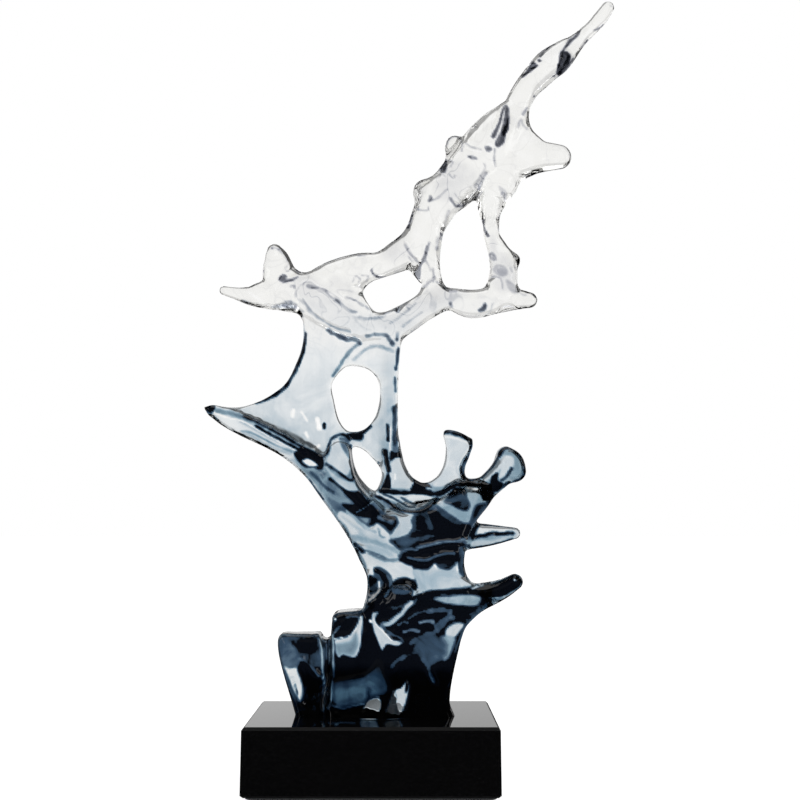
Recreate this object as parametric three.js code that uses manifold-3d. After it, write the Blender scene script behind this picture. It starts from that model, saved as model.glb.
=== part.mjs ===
// Free-form cast resin sculpture, tinted navy at the foot and clear at the tip, on a stone plinth.
// Millimetres, +Z up. The origin is the middle of the felt's underside, and the front faces -Y.
import * as THREE from "three";
import { edgeTable, triTable } from "three/addons/objects/MarchingCubes.js";
import { mergeVertices } from "three/addons/utils/BufferGeometryUtils.js";
import Module from "manifold-3d";

const wasm = await Module();
wasm.setup();

// Plinth, felt and bedding
const PLINTH_WIDTH = 230;
const PLINTH_DEPTH = 120;
const PLINTH_HEIGHT = 60;
const PLINTH_CHAMFER = 2.5;
const FELT_THICKNESS = 2;
const FELT_INSET = 3;
const FELT_CORNER_RADIUS = 8;
const BEDDING_THICKNESS = 0.5;

// Screws, washers and inserts
const SCREW_DIAMETER = 8;
const SCREW_HEAD_DIAMETER = 13;
const SCREW_HEAD_HEIGHT = 8;
const SCREW_SOFTENING = 0.6;
const SOCKET_ACROSS_FLATS = 6;
const SOCKET_DEPTH = 4;
const WASHER_DIAMETER = 24;
const WASHER_THICKNESS = 2;
const LOCK_WASHER_DIAMETER = 14.8;
const LOCK_WASHER_THICKNESS = 2;
const LOCK_WASHER_SPLIT = 1.6;
const LOCK_WASHER_SLANT = Math.PI / 6;
const SCREW_POCKET_DIAMETER = 26;
const SCREW_POCKET_DEPTH = 24;
const INSERT_DIAMETER = 14;
const INSERT_LENGTH = 18;
const INSERT_GROOVE_WIDTH = 4;
const INSERT_GROOVE_DEPTH = 0.9;
const SCREW_ENGAGEMENT = 14;
const SCREW_CLEARANCE = 0.5;
const INSERT_CLEARANCE = 0.3;
const SCREW_SPOTS = [[-50, 3], [12, 14], [46, -2]];

// Casting
const MEMBRANE_THICKNESS = 9;
const FILLET = 9;
const HOLE_ROUNDING = 5;

// Facets
const FACET_SIZE = 8.4;
const FACET_DEPTH = 6.4;
const ROUND_SIDES = 20;
const FELT_CORNER_STEPS = 5;
const OUTLINE_STEPS = 3;
const EVENING_ROUNDS = 6;
const EVENING_SHARE = 0.6;
const NODE_CLEARANCE = 0.05;
const SLOPE_STEP = 0.4;
const LEAST_SLOPE = 0.1;
const LEAST_PULLING_SLOPE = 0.5;

// How far a cutting tool runs past the face that it cuts
const OVERRUN = 1;

// Points closer than this are one point, and heights smaller than the next are zero
const MERGING_DISTANCE = 1e-4;
const HAIR = 1e-6;

// Heights of the stack, from the table up, and of the fasteners, from the roof of their pockets down
const plinthBottom = FELT_THICKNESS;
const plinthTop = plinthBottom + PLINTH_HEIGHT;
const castingBottom = plinthTop + BEDDING_THICKNESS;
const washerBottom = plinthBottom + SCREW_POCKET_DEPTH - WASHER_THICKNESS;
const headSeat = washerBottom - LOCK_WASHER_THICKNESS;

// Bars of the casting. A station is [x, y, z, radius], with z above the foot's underside,
// and flat is a bar's depth over its width.
const BARS = {
  spike: {
    flat: 0.85,
    stations: [
      [-165, -15, 290, 5.6], [-144.5, -13, 281, 8.5], [-126, -10, 273, 10.5], [-100, -6, 262, 11.5],
      [-78.5, -3, 250.5, 12.5], [-56.5, -1, 233.5, 14.5], [-38, 0, 212.5, 16.8], [-13, -2, 184.5, 20.5],
      [8, -3, 160, 26], [24, -2, 138, 26],
    ],
  },
  rod: {
    flat: 0.9,
    stations: [
      [22, 12, 215, 12], [19, 12.5, 240, 8], [16.5, 13, 262, 6.5], [16, 13, 290, 6.3], [16, 13, 320, 6.3],
      [17.5, 11, 345, 6.8], [19, 9, 365, 8.5], [22, 6, 380, 11],
    ],
  },
  crownKnob: {
    flat: 0.9,
    stations: [[88, 2, 203, 16], [106.5, -3, 211, 12], [119.5, -8, 222, 12], [129, -12, 232.5, 13]],
  },
  crownKnobLip: {
    flat: 1,
    stations: [[128.5, -10, 245, 7.8], [134.5, -14, 237, 10.2], [137.5, -16, 228.5, 9.2]],
  },
  horn: {
    flat: 0.7,
    stations: [[72, 14, 164, 13], [100, 21, 166, 12.5], [121, 26, 167, 9.8], [141.5, 30, 168.5, 5.8]],
  },
  ledge: {
    flat: 0.9,
    stations: [
      [50, -6, 98, 18], [80, -10, 103, 15], [103.5, -15, 110, 12.5], [121.5, -19, 116.5, 9.5],
      [134.5, -22, 124, 7.5],
    ],
  },
  peg: {
    flat: 1,
    stations: [[4, -16, 99, 12], [20, -22, 106, 11], [33, -27, 112, 9.5]],
  },
  beam: {
    flat: 0.8,
    stations: [
      [-78, -6, 402.5, 13], [-60, -5, 397, 16], [-40, -4, 388.5, 17.5], [-18, -1, 377.5, 14.5],
      [2, 3, 376, 12.5], [25, 5, 381, 15], [50, 3, 397, 15], [75, -2, 403, 11.5], [98, -6, 397, 14.5],
      [123.5, -9, 400, 13], [143.5, -12, 400, 10], [154.5, -14, 399, 8],
    ],
  },
  saddle: {
    flat: 0.7,
    stations: [
      [-82, -2, 413.5, 17], [-64, -1, 416, 15.5], [-41, 1, 427, 17], [-16, 3, 435.5, 16.5], [6, 5, 440.5, 14],
      [26, 6, 451, 16.5], [46, 5, 465, 18],
    ],
  },
  fishtailLeft: {
    flat: 0.55,
    stations: [
      [-82, -4, 405, 12], [-97.5, -5.5, 405.5, 14], [-111.5, -7, 406, 13.5], [-124, -9, 404.5, 9.5],
      [-136.5, -12, 406, 6.5], [-150, -15, 408.5, 4.5],
    ],
  },
  fishtailUpper: {
    flat: 0.55,
    stations: [[-85.5, -4, 409.5, 15], [-96, -3, 427, 16.5], [-99.5, 1, 443, 13], [-103, 6, 454.5, 8.2]],
  },
  upperTrunk: {
    flat: 0.65,
    stations: [
      [58, -3, 411, 12], [51, 1, 445.5, 17], [52.5, 5, 478, 18.5], [63.5, 8, 503, 21.5],
      [82.5, 10, 526.5, 24], [102.5, 12, 548, 28], [117, 13, 565.5, 30], [129, 14, 584.5, 26],
      [141.5, 14, 601, 19.5],
      [148.5, 14, 613, 14.5], [152.5, 14, 623, 13.5], [160.5, 14, 636.5, 13.5], [170.5, 13, 648, 15],
      [182, 12, 660, 16.5], [191, 10, 666.5, 16.5], [200.5, 8, 674, 13.5], [209.5, 5, 681, 10],
      [218.5, 2, 688.5, 8], [228, -2, 696, 7.3], [236.5, -5, 705, 7.8], [245, -8, 715, 7],
    ],
  },
  trunkShelf: {
    flat: 0.8,
    stations: [[72.5, 7, 520, 16], [52, 3, 518, 12.5]],
  },
  trunkNub: {
    flat: 0.5,
    stations: [[82.5, 5, 560, 7.4], [81.5, 5, 565.5, 8.6], [82.5, 5, 570.5, 8.2]],
  },
  paddle: {
    flat: 0.5,
    stations: [[118.5, 12, 553, 25], [151, 15, 560, 22], [173.5, 19, 562.5, 17], [194, 23, 564, 13.5]],
  },
  paddleRoot: {
    flat: 0.6,
    stations: [[149, 14, 591, 12], [160, 16, 574, 14]],
  },
  rightLimb: {
    flat: 0.8,
    stations: [
      [129, 11, 529, 18.5], [119.5, 10, 504, 13], [119.5, 8, 486.5, 8.7], [120.5, 6, 470, 8.5],
      [126.5, 1, 452.5, 11], [130, -4, 435.5, 13.5], [128.5, -7, 415, 15],
    ],
  },
  limbNub: {
    flat: 1,
    stations: [[131, -3, 444, 8], [141, -7, 442.5, 5]],
  },
};

// The membrane's front face, through three points [x, z, y]
const MEMBRANE_FRONT = [[-160, 290, -16], [20, 300, 8], [-40, 380, 0]];

// Slabs of the casting. An outline is [x, z] seen from the front, and fronts and backs are planes,
// each through three points [x, z, y]. The edge radius rounds the slab's rim.
const SLABS = {
  footLeft: {
    edge: 7,
    outline: [
      [-49, -14], [-49, 40], [-50, 71.5], [-60, 74], [-74, 74], [-87, 74], [-91.5, 68], [-90.5, 55],
      [-86, 38], [-80, 20], [-73.5, 0], [-70.5, -14],
    ],
    fronts: [[[-50, 0, -16], [-90, 74, -9], [-50, 74, -15]]],
    backs: [[[-50, 0, 24], [-90, 74, 15], [-50, 74, 20]]],
  },
  footWeb: {
    edge: 5,
    outline: [[-60, -14], [-60, 55], [-50, 65], [-38, 66], [-20, 55], [-20, -14]],
    fronts: [[[-60, 0, -9], [-20, 0, -9], [-40, 60, -7]]],
    backs: [[[-60, 0, 21], [-20, 0, 21], [-40, 60, 17]]],
  },
  footMiddle: {
    edge: 8,
    outline: [
      [-39, -14], [-40, 40], [-39, 84], [-37, 93], [-26, 95.5], [-8, 96], [8, 93], [16, 84], [18, 40],
      [16, -14],
    ],
    fronts: [[[-40, 0, -25], [-40, 98, -20], [10, 0, -28]]],
    backs: [[[-40, 0, 26], [-40, 98, 21], [10, 0, 30]]],
  },
  footRight: {
    edge: 8,
    outline: [
      [-12, -14], [-12, 50], [-4, 92], [20, 108], [60, 112], [98, 116], [111, 109], [99.5, 94], [87.5, 79],
      [80.5, 56], [74.5, 30], [72.5, 12], [73, -14],
    ],
    fronts: [
      [[20, 0, -28], [70, 0, -20], [60, 110, -22]],
      [[-12, 0, -25], [20, 0, -28.5], [-12, 100, -21]],
    ],
    backs: [
      [[20, 0, 33], [70, 0, 28], [60, 110, 25]],
      [[-12, 0, 27], [20, 0, 33], [-12, 100, 22]],
    ],
  },
  trunk: {
    edge: 11,
    outline: [
      [30, 78], [2, 84], [-4, 102], [-5, 114], [-5, 127], [-8, 138], [-11, 148], [-8, 160], [4, 172],
      [14, 186], [30, 195], [60, 199], [86, 210], [106, 212], [112, 201], [105, 188], [96, 175], [90, 160],
      [87, 144], [88, 134], [92, 122], [94, 108], [88, 90], [70, 80],
    ],
    fronts: [
      [[40, 90, -24], [40, 200, -33], [90, 150, -26]],
      [[40, 160, -31], [40, 212, -1], [90, 160, -27]],
      [[-8, 140, -17], [-8, 180, -14], [25, 140, -27]],
    ],
    backs: [
      [[40, 90, 26], [40, 200, 27], [90, 150, 27]],
      [[-8, 140, 16], [-8, 180, 13], [25, 140, 27]],
    ],
  },
  thumb: {
    edge: 5,
    outline: [
      [-47, 218], [-46, 232], [-46, 245], [-41, 254], [-32, 257], [-23.5, 251], [-21, 236], [-18, 222],
      [-10, 206], [4, 192], [-8, 178], [-28, 198],
    ],
    fronts: [[[-40, 190, -12], [-40, 250, -22], [0, 190, -14]]],
    backs: [[[-40, 190, 6], [-40, 250, 5], [0, 190, 10]]],
  },
  shoulder: {
    edge: 6,
    outline: [[-62, 398], [-52, 430], [-22, 436], [-6, 428], [-12, 410], [-4, 390], [-22, 380], [-45, 390]],
    fronts: [[[-60, 400, -8], [0, 400, -7], [-40, 430, -6]]],
    backs: [[[-60, 400, 6], [0, 400, 6], [-40, 430, 7]]],
  },
  crown: {
    edge: 6,
    outline: [
      [-10, 185], [1, 207], [9, 222], [12, 242], [13, 262], [20, 262], [24, 250], [28, 237], [37, 224],
      [49, 218], [61, 223], [69, 236], [71.5, 254], [69, 268], [77, 271], [92, 264.5], [97.5, 257], [94, 245],
      [89.5, 232], [91, 221.5], [103, 218], [112, 210], [106, 195], [60, 180],
    ],
    fronts: [[[0, 200, 2], [20, 250, 5], [98, 250, -3]]],
    backs: [[[0, 200, 20], [20, 250, 20], [98, 250, 14]]],
  },
  membrane: {
    edge: MEMBRANE_THICKNESS / 2,
    outline: [
      [-166, 291], [-143, 290], [-115, 298], [-96.5, 309.5], [-86.5, 320], [-80, 334.5], [-74.5, 349],
      [-72, 362], [-72, 376], [-71, 396], [-60, 408], [-40, 412], [-20, 408], [-2, 398], [12, 392],
      [20, 384], [22, 372], [22, 345], [20.5, 310], [20, 281], [21, 252], [22, 225], [0, 205], [-25, 200],
      [-50, 225], [-79, 245], [-122, 272], [-150, 284],
    ],
    fronts: [MEMBRANE_FRONT],
    backs: [MEMBRANE_FRONT.map(([x, z, y]) => [x, z, y + MEMBRANE_THICKNESS])],
  },
};

// Openings that go right through the casting from front to back, as outlines [x, z].
const HOLES = {
  egg: [
    [98, 503], [86, 499.5], [80, 491], [72.5, 475], [68, 457], [66, 438], [69, 423], [77, 416], [90, 414],
    [107, 417], [113, 423], [115.5, 436], [113, 450], [111, 471], [109, 487], [104.5, 498],
  ],
  bean: [
    [-9, 411], [-2.5, 422], [8, 427], [28, 432.5], [37, 430.5], [45, 423], [49.5, 419], [46, 411], [37, 403],
    [23, 397], [9, 391.5], [-2.5, 394],
  ],
  oval: [
    [-30, 335], [-15, 336], [-4, 332], [4, 322], [6, 307], [3.5, 290], [-2.5, 278], [-12.5, 270],
    [-26.5, 269.5], [-35.5, 280], [-41, 300], [-43, 318],
  ],
  leaf: [[-22.5, 253.5], [-13.5, 253.5], [-3.5, 246], [8.5, 229], [1.5, 210], [-12.5, 220.5], [-20.5, 236]],
};

// Geometry helpers
function cylinder(diameter, height, sides = ROUND_SIDES) {
  const geometry = new THREE.CylinderGeometry(diameter / 2, diameter / 2, height, sides);
  geometry.rotateX(Math.PI / 2);
  geometry.translate(0, 0, height / 2);
  return geometry;
}

function toSolid(geometry) {
  const bare = geometry.clone();
  bare.deleteAttribute("normal");
  bare.deleteAttribute("uv");
  const merged = mergeVertices(bare, MERGING_DISTANCE);
  return new wasm.Manifold(new wasm.Mesh({
    numProp: 3,
    vertProperties: new Float32Array(merged.attributes.position.array),
    triVerts: new Uint32Array(merged.index.array),
  }));
}

function toGeometry(solid) {
  const mesh = solid.getMesh();
  const geometry = new THREE.BufferGeometry();
  geometry.setAttribute("position", new THREE.BufferAttribute(new Float32Array(mesh.vertProperties), 3));
  geometry.setIndex(new THREE.BufferAttribute(new Uint32Array(mesh.triVerts), 1));
  return geometry;
}

function roundedRectangle(width, depth, radius) {
  const x = width / 2;
  const y = depth / 2;
  const shape = new THREE.Shape();
  shape.moveTo(-x + radius, -y);
  shape.lineTo(x - radius, -y);
  shape.absarc(x - radius, -y + radius, radius, -Math.PI / 2, 0);
  shape.lineTo(x, y - radius);
  shape.absarc(x - radius, y - radius, radius, 0, Math.PI / 2);
  shape.lineTo(-x + radius, y);
  shape.absarc(-x + radius, y - radius, radius, Math.PI / 2, Math.PI);
  shape.lineTo(-x, -y + radius);
  shape.absarc(-x + radius, -y + radius, radius, Math.PI, 1.5 * Math.PI);
  return shape;
}

// Distance helpers for the casting's free form
function smoothMin(a, b, reach) {
  const h = Math.max(reach - Math.abs(a - b), 0) / reach;
  return Math.min(a, b) - h * h * reach / 4;
}

function smoothMax(a, b, reach) {
  return -smoothMin(-a, -b, reach);
}

function smoothClosedOutline(points) {
  const stations = points.map(([x, z]) => new THREE.Vector3(x, 0, z));
  const curve = new THREE.CatmullRomCurve3(stations, true, "centripetal");
  return curve.getPoints(points.length * OUTLINE_STEPS).slice(0, -1).map((p) => [p.x, p.z]);
}

function outlineDistance(outline, x, z) {
  let nearest = Infinity;
  let inside = false;
  for (let i = 0, j = outline.length - 1; i < outline.length; j = i, i += 1) {
    const [ax, az] = outline[i];
    const [bx, bz] = outline[j];
    const ex = bx - ax;
    const ez = bz - az;
    const t = Math.min(Math.max(((x - ax) * ex + (z - az) * ez) / (ex * ex + ez * ez), 0), 1);
    nearest = Math.min(nearest, (x - ax - t * ex) ** 2 + (z - az - t * ez) ** 2);
    if (az > z !== bz > z && x < ax + ex * (z - az) / ez) inside = !inside;
  }
  return inside ? -Math.sqrt(nearest) : Math.sqrt(nearest);
}

function planeThrough(points) {
  const [[x1, z1, y1], [x2, z2, y2], [x3, z3, y3]] = points;
  const turn = (x2 - x1) * (z3 - z1) - (x3 - x1) * (z2 - z1);
  const slopeX = ((y2 - y1) * (z3 - z1) - (y3 - y1) * (z2 - z1)) / turn;
  const slopeZ = ((x2 - x1) * (y3 - y1) - (x3 - x1) * (y2 - y1)) / turn;
  const steepness = Math.hypot(1, slopeX, slopeZ);
  return (x, y, z) => (y - y1 - slopeX * (x - x1) - slopeZ * (z - z1)) / steepness;
}

function boxAround(points, margin) {
  const xs = points.map((p) => p[0]);
  const zs = points.map((p) => p[1]);
  const low = [Math.min(...xs) - margin, Math.min(...zs) - margin];
  const high = [Math.max(...xs) + margin, Math.max(...zs) + margin];
  return (x, z) => x > low[0] && z > low[1] && x < high[0] && z < high[1];
}

function barForm({ flat, stations }) {
  const spans = (stations.length - 1) * OUTLINE_STEPS;
  const line = new THREE.CatmullRomCurve3(stations.map(([x, y, z]) => new THREE.Vector3(x, y, z)));
  const girth = new THREE.CatmullRomCurve3(stations.map((station) => new THREE.Vector3(station[3], 0, 0)));
  line.curveType = "catmullrom";
  girth.curveType = "catmullrom";
  const centres = line.getPoints(spans);
  const radii = girth.getPoints(spans).map((p) => p.x);
  const near = boxAround(centres.map((p) => [p.x, p.z]), Math.max(...radii) + FILLET);
  return (x, y, z) => {
    if (!near(x, z)) return FILLET;
    let least = FILLET;
    for (let i = 0; i < spans; i += 1) {
      const a = centres[i];
      const b = centres[i + 1];
      const ex = b.x - a.x;
      const ey = (b.y - a.y) / flat;
      const ez = b.z - a.z;
      const px = x - a.x;
      const py = (y - a.y) / flat;
      const pz = z - a.z;
      const t = Math.min(Math.max((px * ex + py * ey + pz * ez) / (ex * ex + ey * ey + ez * ez), 0), 1);
      const radius = radii[i] + t * (radii[i + 1] - radii[i]);
      least = Math.min(least, Math.hypot(px - t * ex, py - t * ey, pz - t * ez) - radius);
    }
    return least;
  };
}

function slabForm({ edge, outline, fronts, backs }) {
  const rim = smoothClosedOutline(outline);
  const near = boxAround(rim, FILLET);
  const behindFronts = fronts.map(planeThrough);
  const behindBacks = backs.map(planeThrough);
  return (x, y, z) => {
    if (!near(x, z)) return FILLET;
    const across = outlineDistance(rim, x, z) + edge;
    let through = -Infinity;
    for (const behind of behindFronts) through = smoothMax(through, edge - behind(x, y, z), FILLET);
    for (const behind of behindBacks) through = smoothMax(through, edge + behind(x, y, z), FILLET);
    const outside = Math.hypot(Math.max(across, 0), Math.max(through, 0));
    return outside + Math.min(Math.max(across, through), 0) - edge;
  };
}

// Rounding a hole's rim opens it by a quarter of the rounding, so the outline is drawn in by as much.
function holeForm(outline) {
  const rim = smoothClosedOutline(outline);
  const near = boxAround(rim, HOLE_ROUNDING);
  return (x, z) => (near(x, z) ? outlineDistance(rim, x, z) + HOLE_ROUNDING / 4 : HOLE_ROUNDING);
}

const solidForms = [...Object.values(BARS).map(barForm), ...Object.values(SLABS).map(slabForm)];
const holeForms = Object.values(HOLES).map(holeForm);

// Signed distance to the casting: the forms flow together with fillets, then the openings are cut.
function castingDistance(x, y, z) {
  let distance = FILLET;
  for (const form of solidForms) distance = smoothMin(distance, form(x, y, z), FILLET);
  for (const form of holeForms) distance = smoothMax(distance, -form(x, z), HOLE_ROUNDING);
  return distance;
}

// Facets over the zero surface of a distance, on a grid of box-shaped cells. The surface keeps clear
// of the grid's own points, so that no facet shrinks to nothing.
const CORNERS = [[0, 0, 0], [1, 0, 0], [1, 1, 0], [0, 1, 0], [0, 0, 1], [1, 0, 1], [1, 1, 1], [0, 1, 1]];
const EDGES = [
  [0, 1], [1, 2], [2, 3], [3, 0], [4, 5], [5, 6], [6, 7], [7, 4], [0, 4], [1, 5], [2, 6], [3, 7],
];

function facetSurface(distance, low, high, cell) {
  const counts = low.map((start, axis) => Math.ceil((high[axis] - start) / cell[axis]) + 1);
  const at = (i, j, k) => i + counts[0] * (j + counts[1] * k);
  const place = (i, j, k) => [low[0] + i * cell[0], low[1] + j * cell[1], low[2] + k * cell[2]];
  const values = new Float64Array(counts[0] * counts[1] * counts[2]);
  for (let k = 0; k < counts[2]; k += 1) {
    for (let j = 0; j < counts[1]; j += 1) {
      for (let i = 0; i < counts[0]; i += 1) {
        const value = distance(...place(i, j, k));
        values[at(i, j, k)] = Math.abs(value) < NODE_CLEARANCE ? NODE_CLEARANCE : value;
      }
    }
  }
  const points = [];
  const faces = [];
  const pointOnEdge = new Map();
  for (let k = 0; k < counts[2] - 1; k += 1) {
    for (let j = 0; j < counts[1] - 1; j += 1) {
      for (let i = 0; i < counts[0] - 1; i += 1) {
        const ends = CORNERS.map(([a, b, c]) => [i + a, j + b, k + c]);
        const level = ends.map((end) => values[at(...end)]);
        const pattern = level.reduce((bits, value, corner) => (value > 0 ? bits | (1 << corner) : bits), 0);
        if (edgeTable[pattern] === 0) continue;
        const corners = [];
        for (let n = pattern * 16; triTable[n] !== -1; n += 1) {
          const [a, b] = EDGES[triTable[n]];
          const ids = [at(...ends[a]), at(...ends[b])].sort((p, q) => p - q);
          const key = ids[0] * 4 + [1, counts[0], counts[0] * counts[1]].indexOf(ids[1] - ids[0]);
          if (!pointOnEdge.has(key)) {
            const t = level[a] / (level[a] - level[b]);
            const from = place(...ends[a]);
            const to = place(...ends[b]);
            pointOnEdge.set(key, points.length);
            points.push(from.map((value, axis) => value + t * (to[axis] - value)));
          }
          corners.push(pointOnEdge.get(key));
        }
        for (let n = 0; n < corners.length; n += 3) faces.push(corners.slice(n, n + 3));
      }
    }
  }
  return { points, faces };
}

function slopeAt(distance, [x, y, z]) {
  const step = SLOPE_STEP;
  return [
    (distance(x + step, y, z) - distance(x - step, y, z)) / (2 * step),
    (distance(x, y + step, z) - distance(x, y - step, z)) / (2 * step),
    (distance(x, y, z + step) - distance(x, y, z - step)) / (2 * step),
  ];
}

// Evens out the facets: each point slides over the surface towards its neighbours' middle.
// Points at height zero stay at that height, so that the foot is cut flat along facet edges.
function evenOut({ points, faces }, distance, rounds) {
  const neighbours = points.map(() => new Set());
  for (const [a, b, c] of faces) {
    neighbours[a].add(b).add(c);
    neighbours[b].add(c).add(a);
    neighbours[c].add(a).add(b);
  }
  const footPoint = points.map((point) => Math.abs(point[2]) < HAIR);
  for (let round = 0; round < rounds; round += 1) {
    const middles = neighbours.map((ring) => {
      const sum = [0, 0, 0];
      for (const other of ring) points[other].forEach((value, axis) => { sum[axis] += value / ring.size; });
      return sum;
    });
    points.forEach((point, index) => {
      const normal = slopeAt(distance, point);
      const steep = Math.max(Math.hypot(...normal), LEAST_SLOPE);
      const drift = point.map((value, axis) => EVENING_SHARE * (middles[index][axis] - value));
      const outward = drift.reduce((sum, value, axis) => sum + value * normal[axis] / steep, 0);
      drift.forEach((value, axis) => { point[axis] += value - outward * normal[axis] / steep; });
      if (footPoint[index]) point[2] = 0;
      const slope = slopeAt(distance, point);
      if (footPoint[index]) slope[2] = 0;
      const pull = distance(...point) / Math.max(Math.hypot(...slope), LEAST_PULLING_SLOPE) ** 2;
      slope.forEach((value, axis) => { point[axis] -= pull * value; });
    });
  }
}

// The space that the poured casting fills, with room for the fillets. It starts a whole number of
// facets below zero, so that a row of them ends where the foot is cut flat.
function pourSpace() {
  const space = new THREE.Box3();
  for (const { flat, stations } of Object.values(BARS)) {
    for (const [x, y, z, radius] of stations) {
      const reach = new THREE.Vector3(radius, flat * radius, radius);
      space.expandByPoint(new THREE.Vector3(x, y, z).sub(reach));
      space.expandByPoint(new THREE.Vector3(x, y, z).add(reach));
    }
  }
  for (const { outline, fronts, backs } of Object.values(SLABS)) {
    const depths = [...fronts, ...backs].flat().map(([, , y]) => y);
    for (const [x, z] of outline) {
      space.expandByPoint(new THREE.Vector3(x, Math.min(...depths), z));
      space.expandByPoint(new THREE.Vector3(x, Math.max(...depths), z));
    }
  }
  space.expandByScalar(2 * FILLET);
  space.min.z = FACET_SIZE * Math.floor(space.min.z / FACET_SIZE);
  return space;
}

const pour = pourSpace();

// The casting as poured, before its foot is cut flat
function pouredCasting() {
  const cell = [FACET_SIZE, FACET_DEPTH, FACET_SIZE];
  const surface = facetSurface(castingDistance, pour.min.toArray(), pour.max.toArray(), cell);
  evenOut(surface, castingDistance, EVENING_ROUNDS);
  const geometry = new THREE.BufferGeometry();
  geometry.setAttribute("position", new THREE.BufferAttribute(new Float32Array(surface.points.flat()), 3));
  geometry.setIndex(surface.faces.flat());
  return toSolid(geometry);
}

// The slice of the poured form between two heights
function slice(solid, from, to) {
  const width = 2 * (pour.max.x - pour.min.x);
  const box = new THREE.BoxGeometry(width, width, to - from);
  box.translate(0, 0, (from + to) / 2);
  return solid.intersect(toSolid(box));
}

function drilled(solid, diameter, from, to) {
  let result = solid;
  for (const [x, y] of SCREW_SPOTS) {
    const drill = cylinder(diameter, to - from);
    drill.translate(x, y, from);
    result = result.subtract(toSolid(drill));
  }
  return result;
}

const poured = pouredCasting();

function castingGeometry() {
  const cutFlat = slice(poured, 0, pour.max.z);
  const pocketDiameter = INSERT_DIAMETER + 2 * INSERT_CLEARANCE;
  return toGeometry(drilled(cutFlat, pocketDiameter, -OVERRUN, INSERT_LENGTH + INSERT_CLEARANCE));
}

function beddingGeometry() {
  const layer = slice(poured, -BEDDING_THICKNESS, 0);
  return toGeometry(drilled(layer, INSERT_DIAMETER, -BEDDING_THICKNESS - OVERRUN, OVERRUN));
}

// Stone block with chamfered edges, bored for the screws and pocketed below for their heads
function plinthGeometry() {
  const shape = new THREE.Shape();
  const x = PLINTH_WIDTH / 2 - PLINTH_CHAMFER;
  const y = PLINTH_DEPTH / 2 - PLINTH_CHAMFER;
  shape.moveTo(-x, -y);
  shape.lineTo(x, -y);
  shape.lineTo(x, y);
  shape.lineTo(-x, y);
  const block = new THREE.ExtrudeGeometry(shape, {
    depth: PLINTH_HEIGHT - 2 * PLINTH_CHAMFER,
    bevelEnabled: true,
    bevelThickness: PLINTH_CHAMFER,
    bevelSize: PLINTH_CHAMFER,
    bevelSegments: 1,
  });
  block.translate(0, 0, PLINTH_CHAMFER);
  const boreDiameter = SCREW_DIAMETER + 2 * SCREW_CLEARANCE;
  const bored = drilled(toSolid(block), boreDiameter, -OVERRUN, PLINTH_HEIGHT + OVERRUN);
  return toGeometry(drilled(bored, SCREW_POCKET_DIAMETER, -OVERRUN, SCREW_POCKET_DEPTH));
}

function feltGeometry() {
  const width = PLINTH_WIDTH - 2 * FELT_INSET;
  const depth = PLINTH_DEPTH - 2 * FELT_INSET;
  return new THREE.ExtrudeGeometry(roundedRectangle(width, depth, FELT_CORNER_RADIUS), {
    depth: FELT_THICKNESS,
    bevelEnabled: false,
    curveSegments: FELT_CORNER_STEPS,
  });
}

// Socket-head screw, head down, drawn from the underside of its head at zero
function screwGeometry() {
  const head = SCREW_HEAD_DIAMETER / 2;
  const shank = SCREW_DIAMETER / 2;
  const length = castingBottom + SCREW_ENGAGEMENT - headSeat;
  const profile = [
    [0, -SCREW_HEAD_HEIGHT], [head - SCREW_SOFTENING, -SCREW_HEAD_HEIGHT],
    [head, SCREW_SOFTENING - SCREW_HEAD_HEIGHT], [head, 0], [shank, 0], [shank, length - 2 * SCREW_SOFTENING],
    [shank - 2 * SCREW_SOFTENING, length], [0, length],
  ];
  const body = new THREE.LatheGeometry(profile.map(([r, z]) => new THREE.Vector2(r, z)), ROUND_SIDES);
  body.rotateX(Math.PI / 2);
  const socket = cylinder(SOCKET_ACROSS_FLATS / Math.cos(Math.PI / 6), SOCKET_DEPTH + OVERRUN, 6);
  socket.translate(0, 0, -SCREW_HEAD_HEIGHT - OVERRUN);
  return toGeometry(toSolid(body).subtract(toSolid(socket)));
}

function flatWasherGeometry() {
  const ring = toSolid(cylinder(WASHER_DIAMETER, WASHER_THICKNESS));
  const bore = cylinder(SCREW_DIAMETER + 2 * SCREW_CLEARANCE, WASHER_THICKNESS + 2 * OVERRUN);
  bore.translate(0, 0, -OVERRUN);
  return toGeometry(ring.subtract(toSolid(bore)));
}

// Spring washer: a ring with a slanting split
function lockWasherGeometry() {
  const ring = toSolid(cylinder(LOCK_WASHER_DIAMETER, LOCK_WASHER_THICKNESS));
  const bore = cylinder(SCREW_DIAMETER + 2 * SCREW_CLEARANCE, LOCK_WASHER_THICKNESS + 2 * OVERRUN);
  bore.translate(0, 0, -OVERRUN);
  const split = new THREE.BoxGeometry(LOCK_WASHER_DIAMETER, LOCK_WASHER_SPLIT, 4 * LOCK_WASHER_THICKNESS);
  split.rotateX(LOCK_WASHER_SLANT);
  split.translate(LOCK_WASHER_DIAMETER / 2, 0, LOCK_WASHER_THICKNESS / 2);
  return toGeometry(ring.subtract(toSolid(bore)).subtract(toSolid(split)));
}

// Threaded insert with a groove round its middle that keys it into the resin
function insertGeometry() {
  const outer = INSERT_DIAMETER / 2;
  const groove = outer - INSERT_GROOVE_DEPTH;
  const inner = SCREW_DIAMETER / 2 + SCREW_CLEARANCE / 2;
  const low = (INSERT_LENGTH - INSERT_GROOVE_WIDTH) / 2;
  const high = low + INSERT_GROOVE_WIDTH;
  const profile = [
    [inner, 0], [outer, 0], [outer, low], [groove, low], [groove, high], [outer, high],
    [outer, INSERT_LENGTH], [inner, INSERT_LENGTH], [inner, 0],
  ];
  const body = new THREE.LatheGeometry(profile.map(([r, z]) => new THREE.Vector2(r, z)), ROUND_SIDES);
  body.rotateX(Math.PI / 2);
  return toGeometry(toSolid(body));
}

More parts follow.
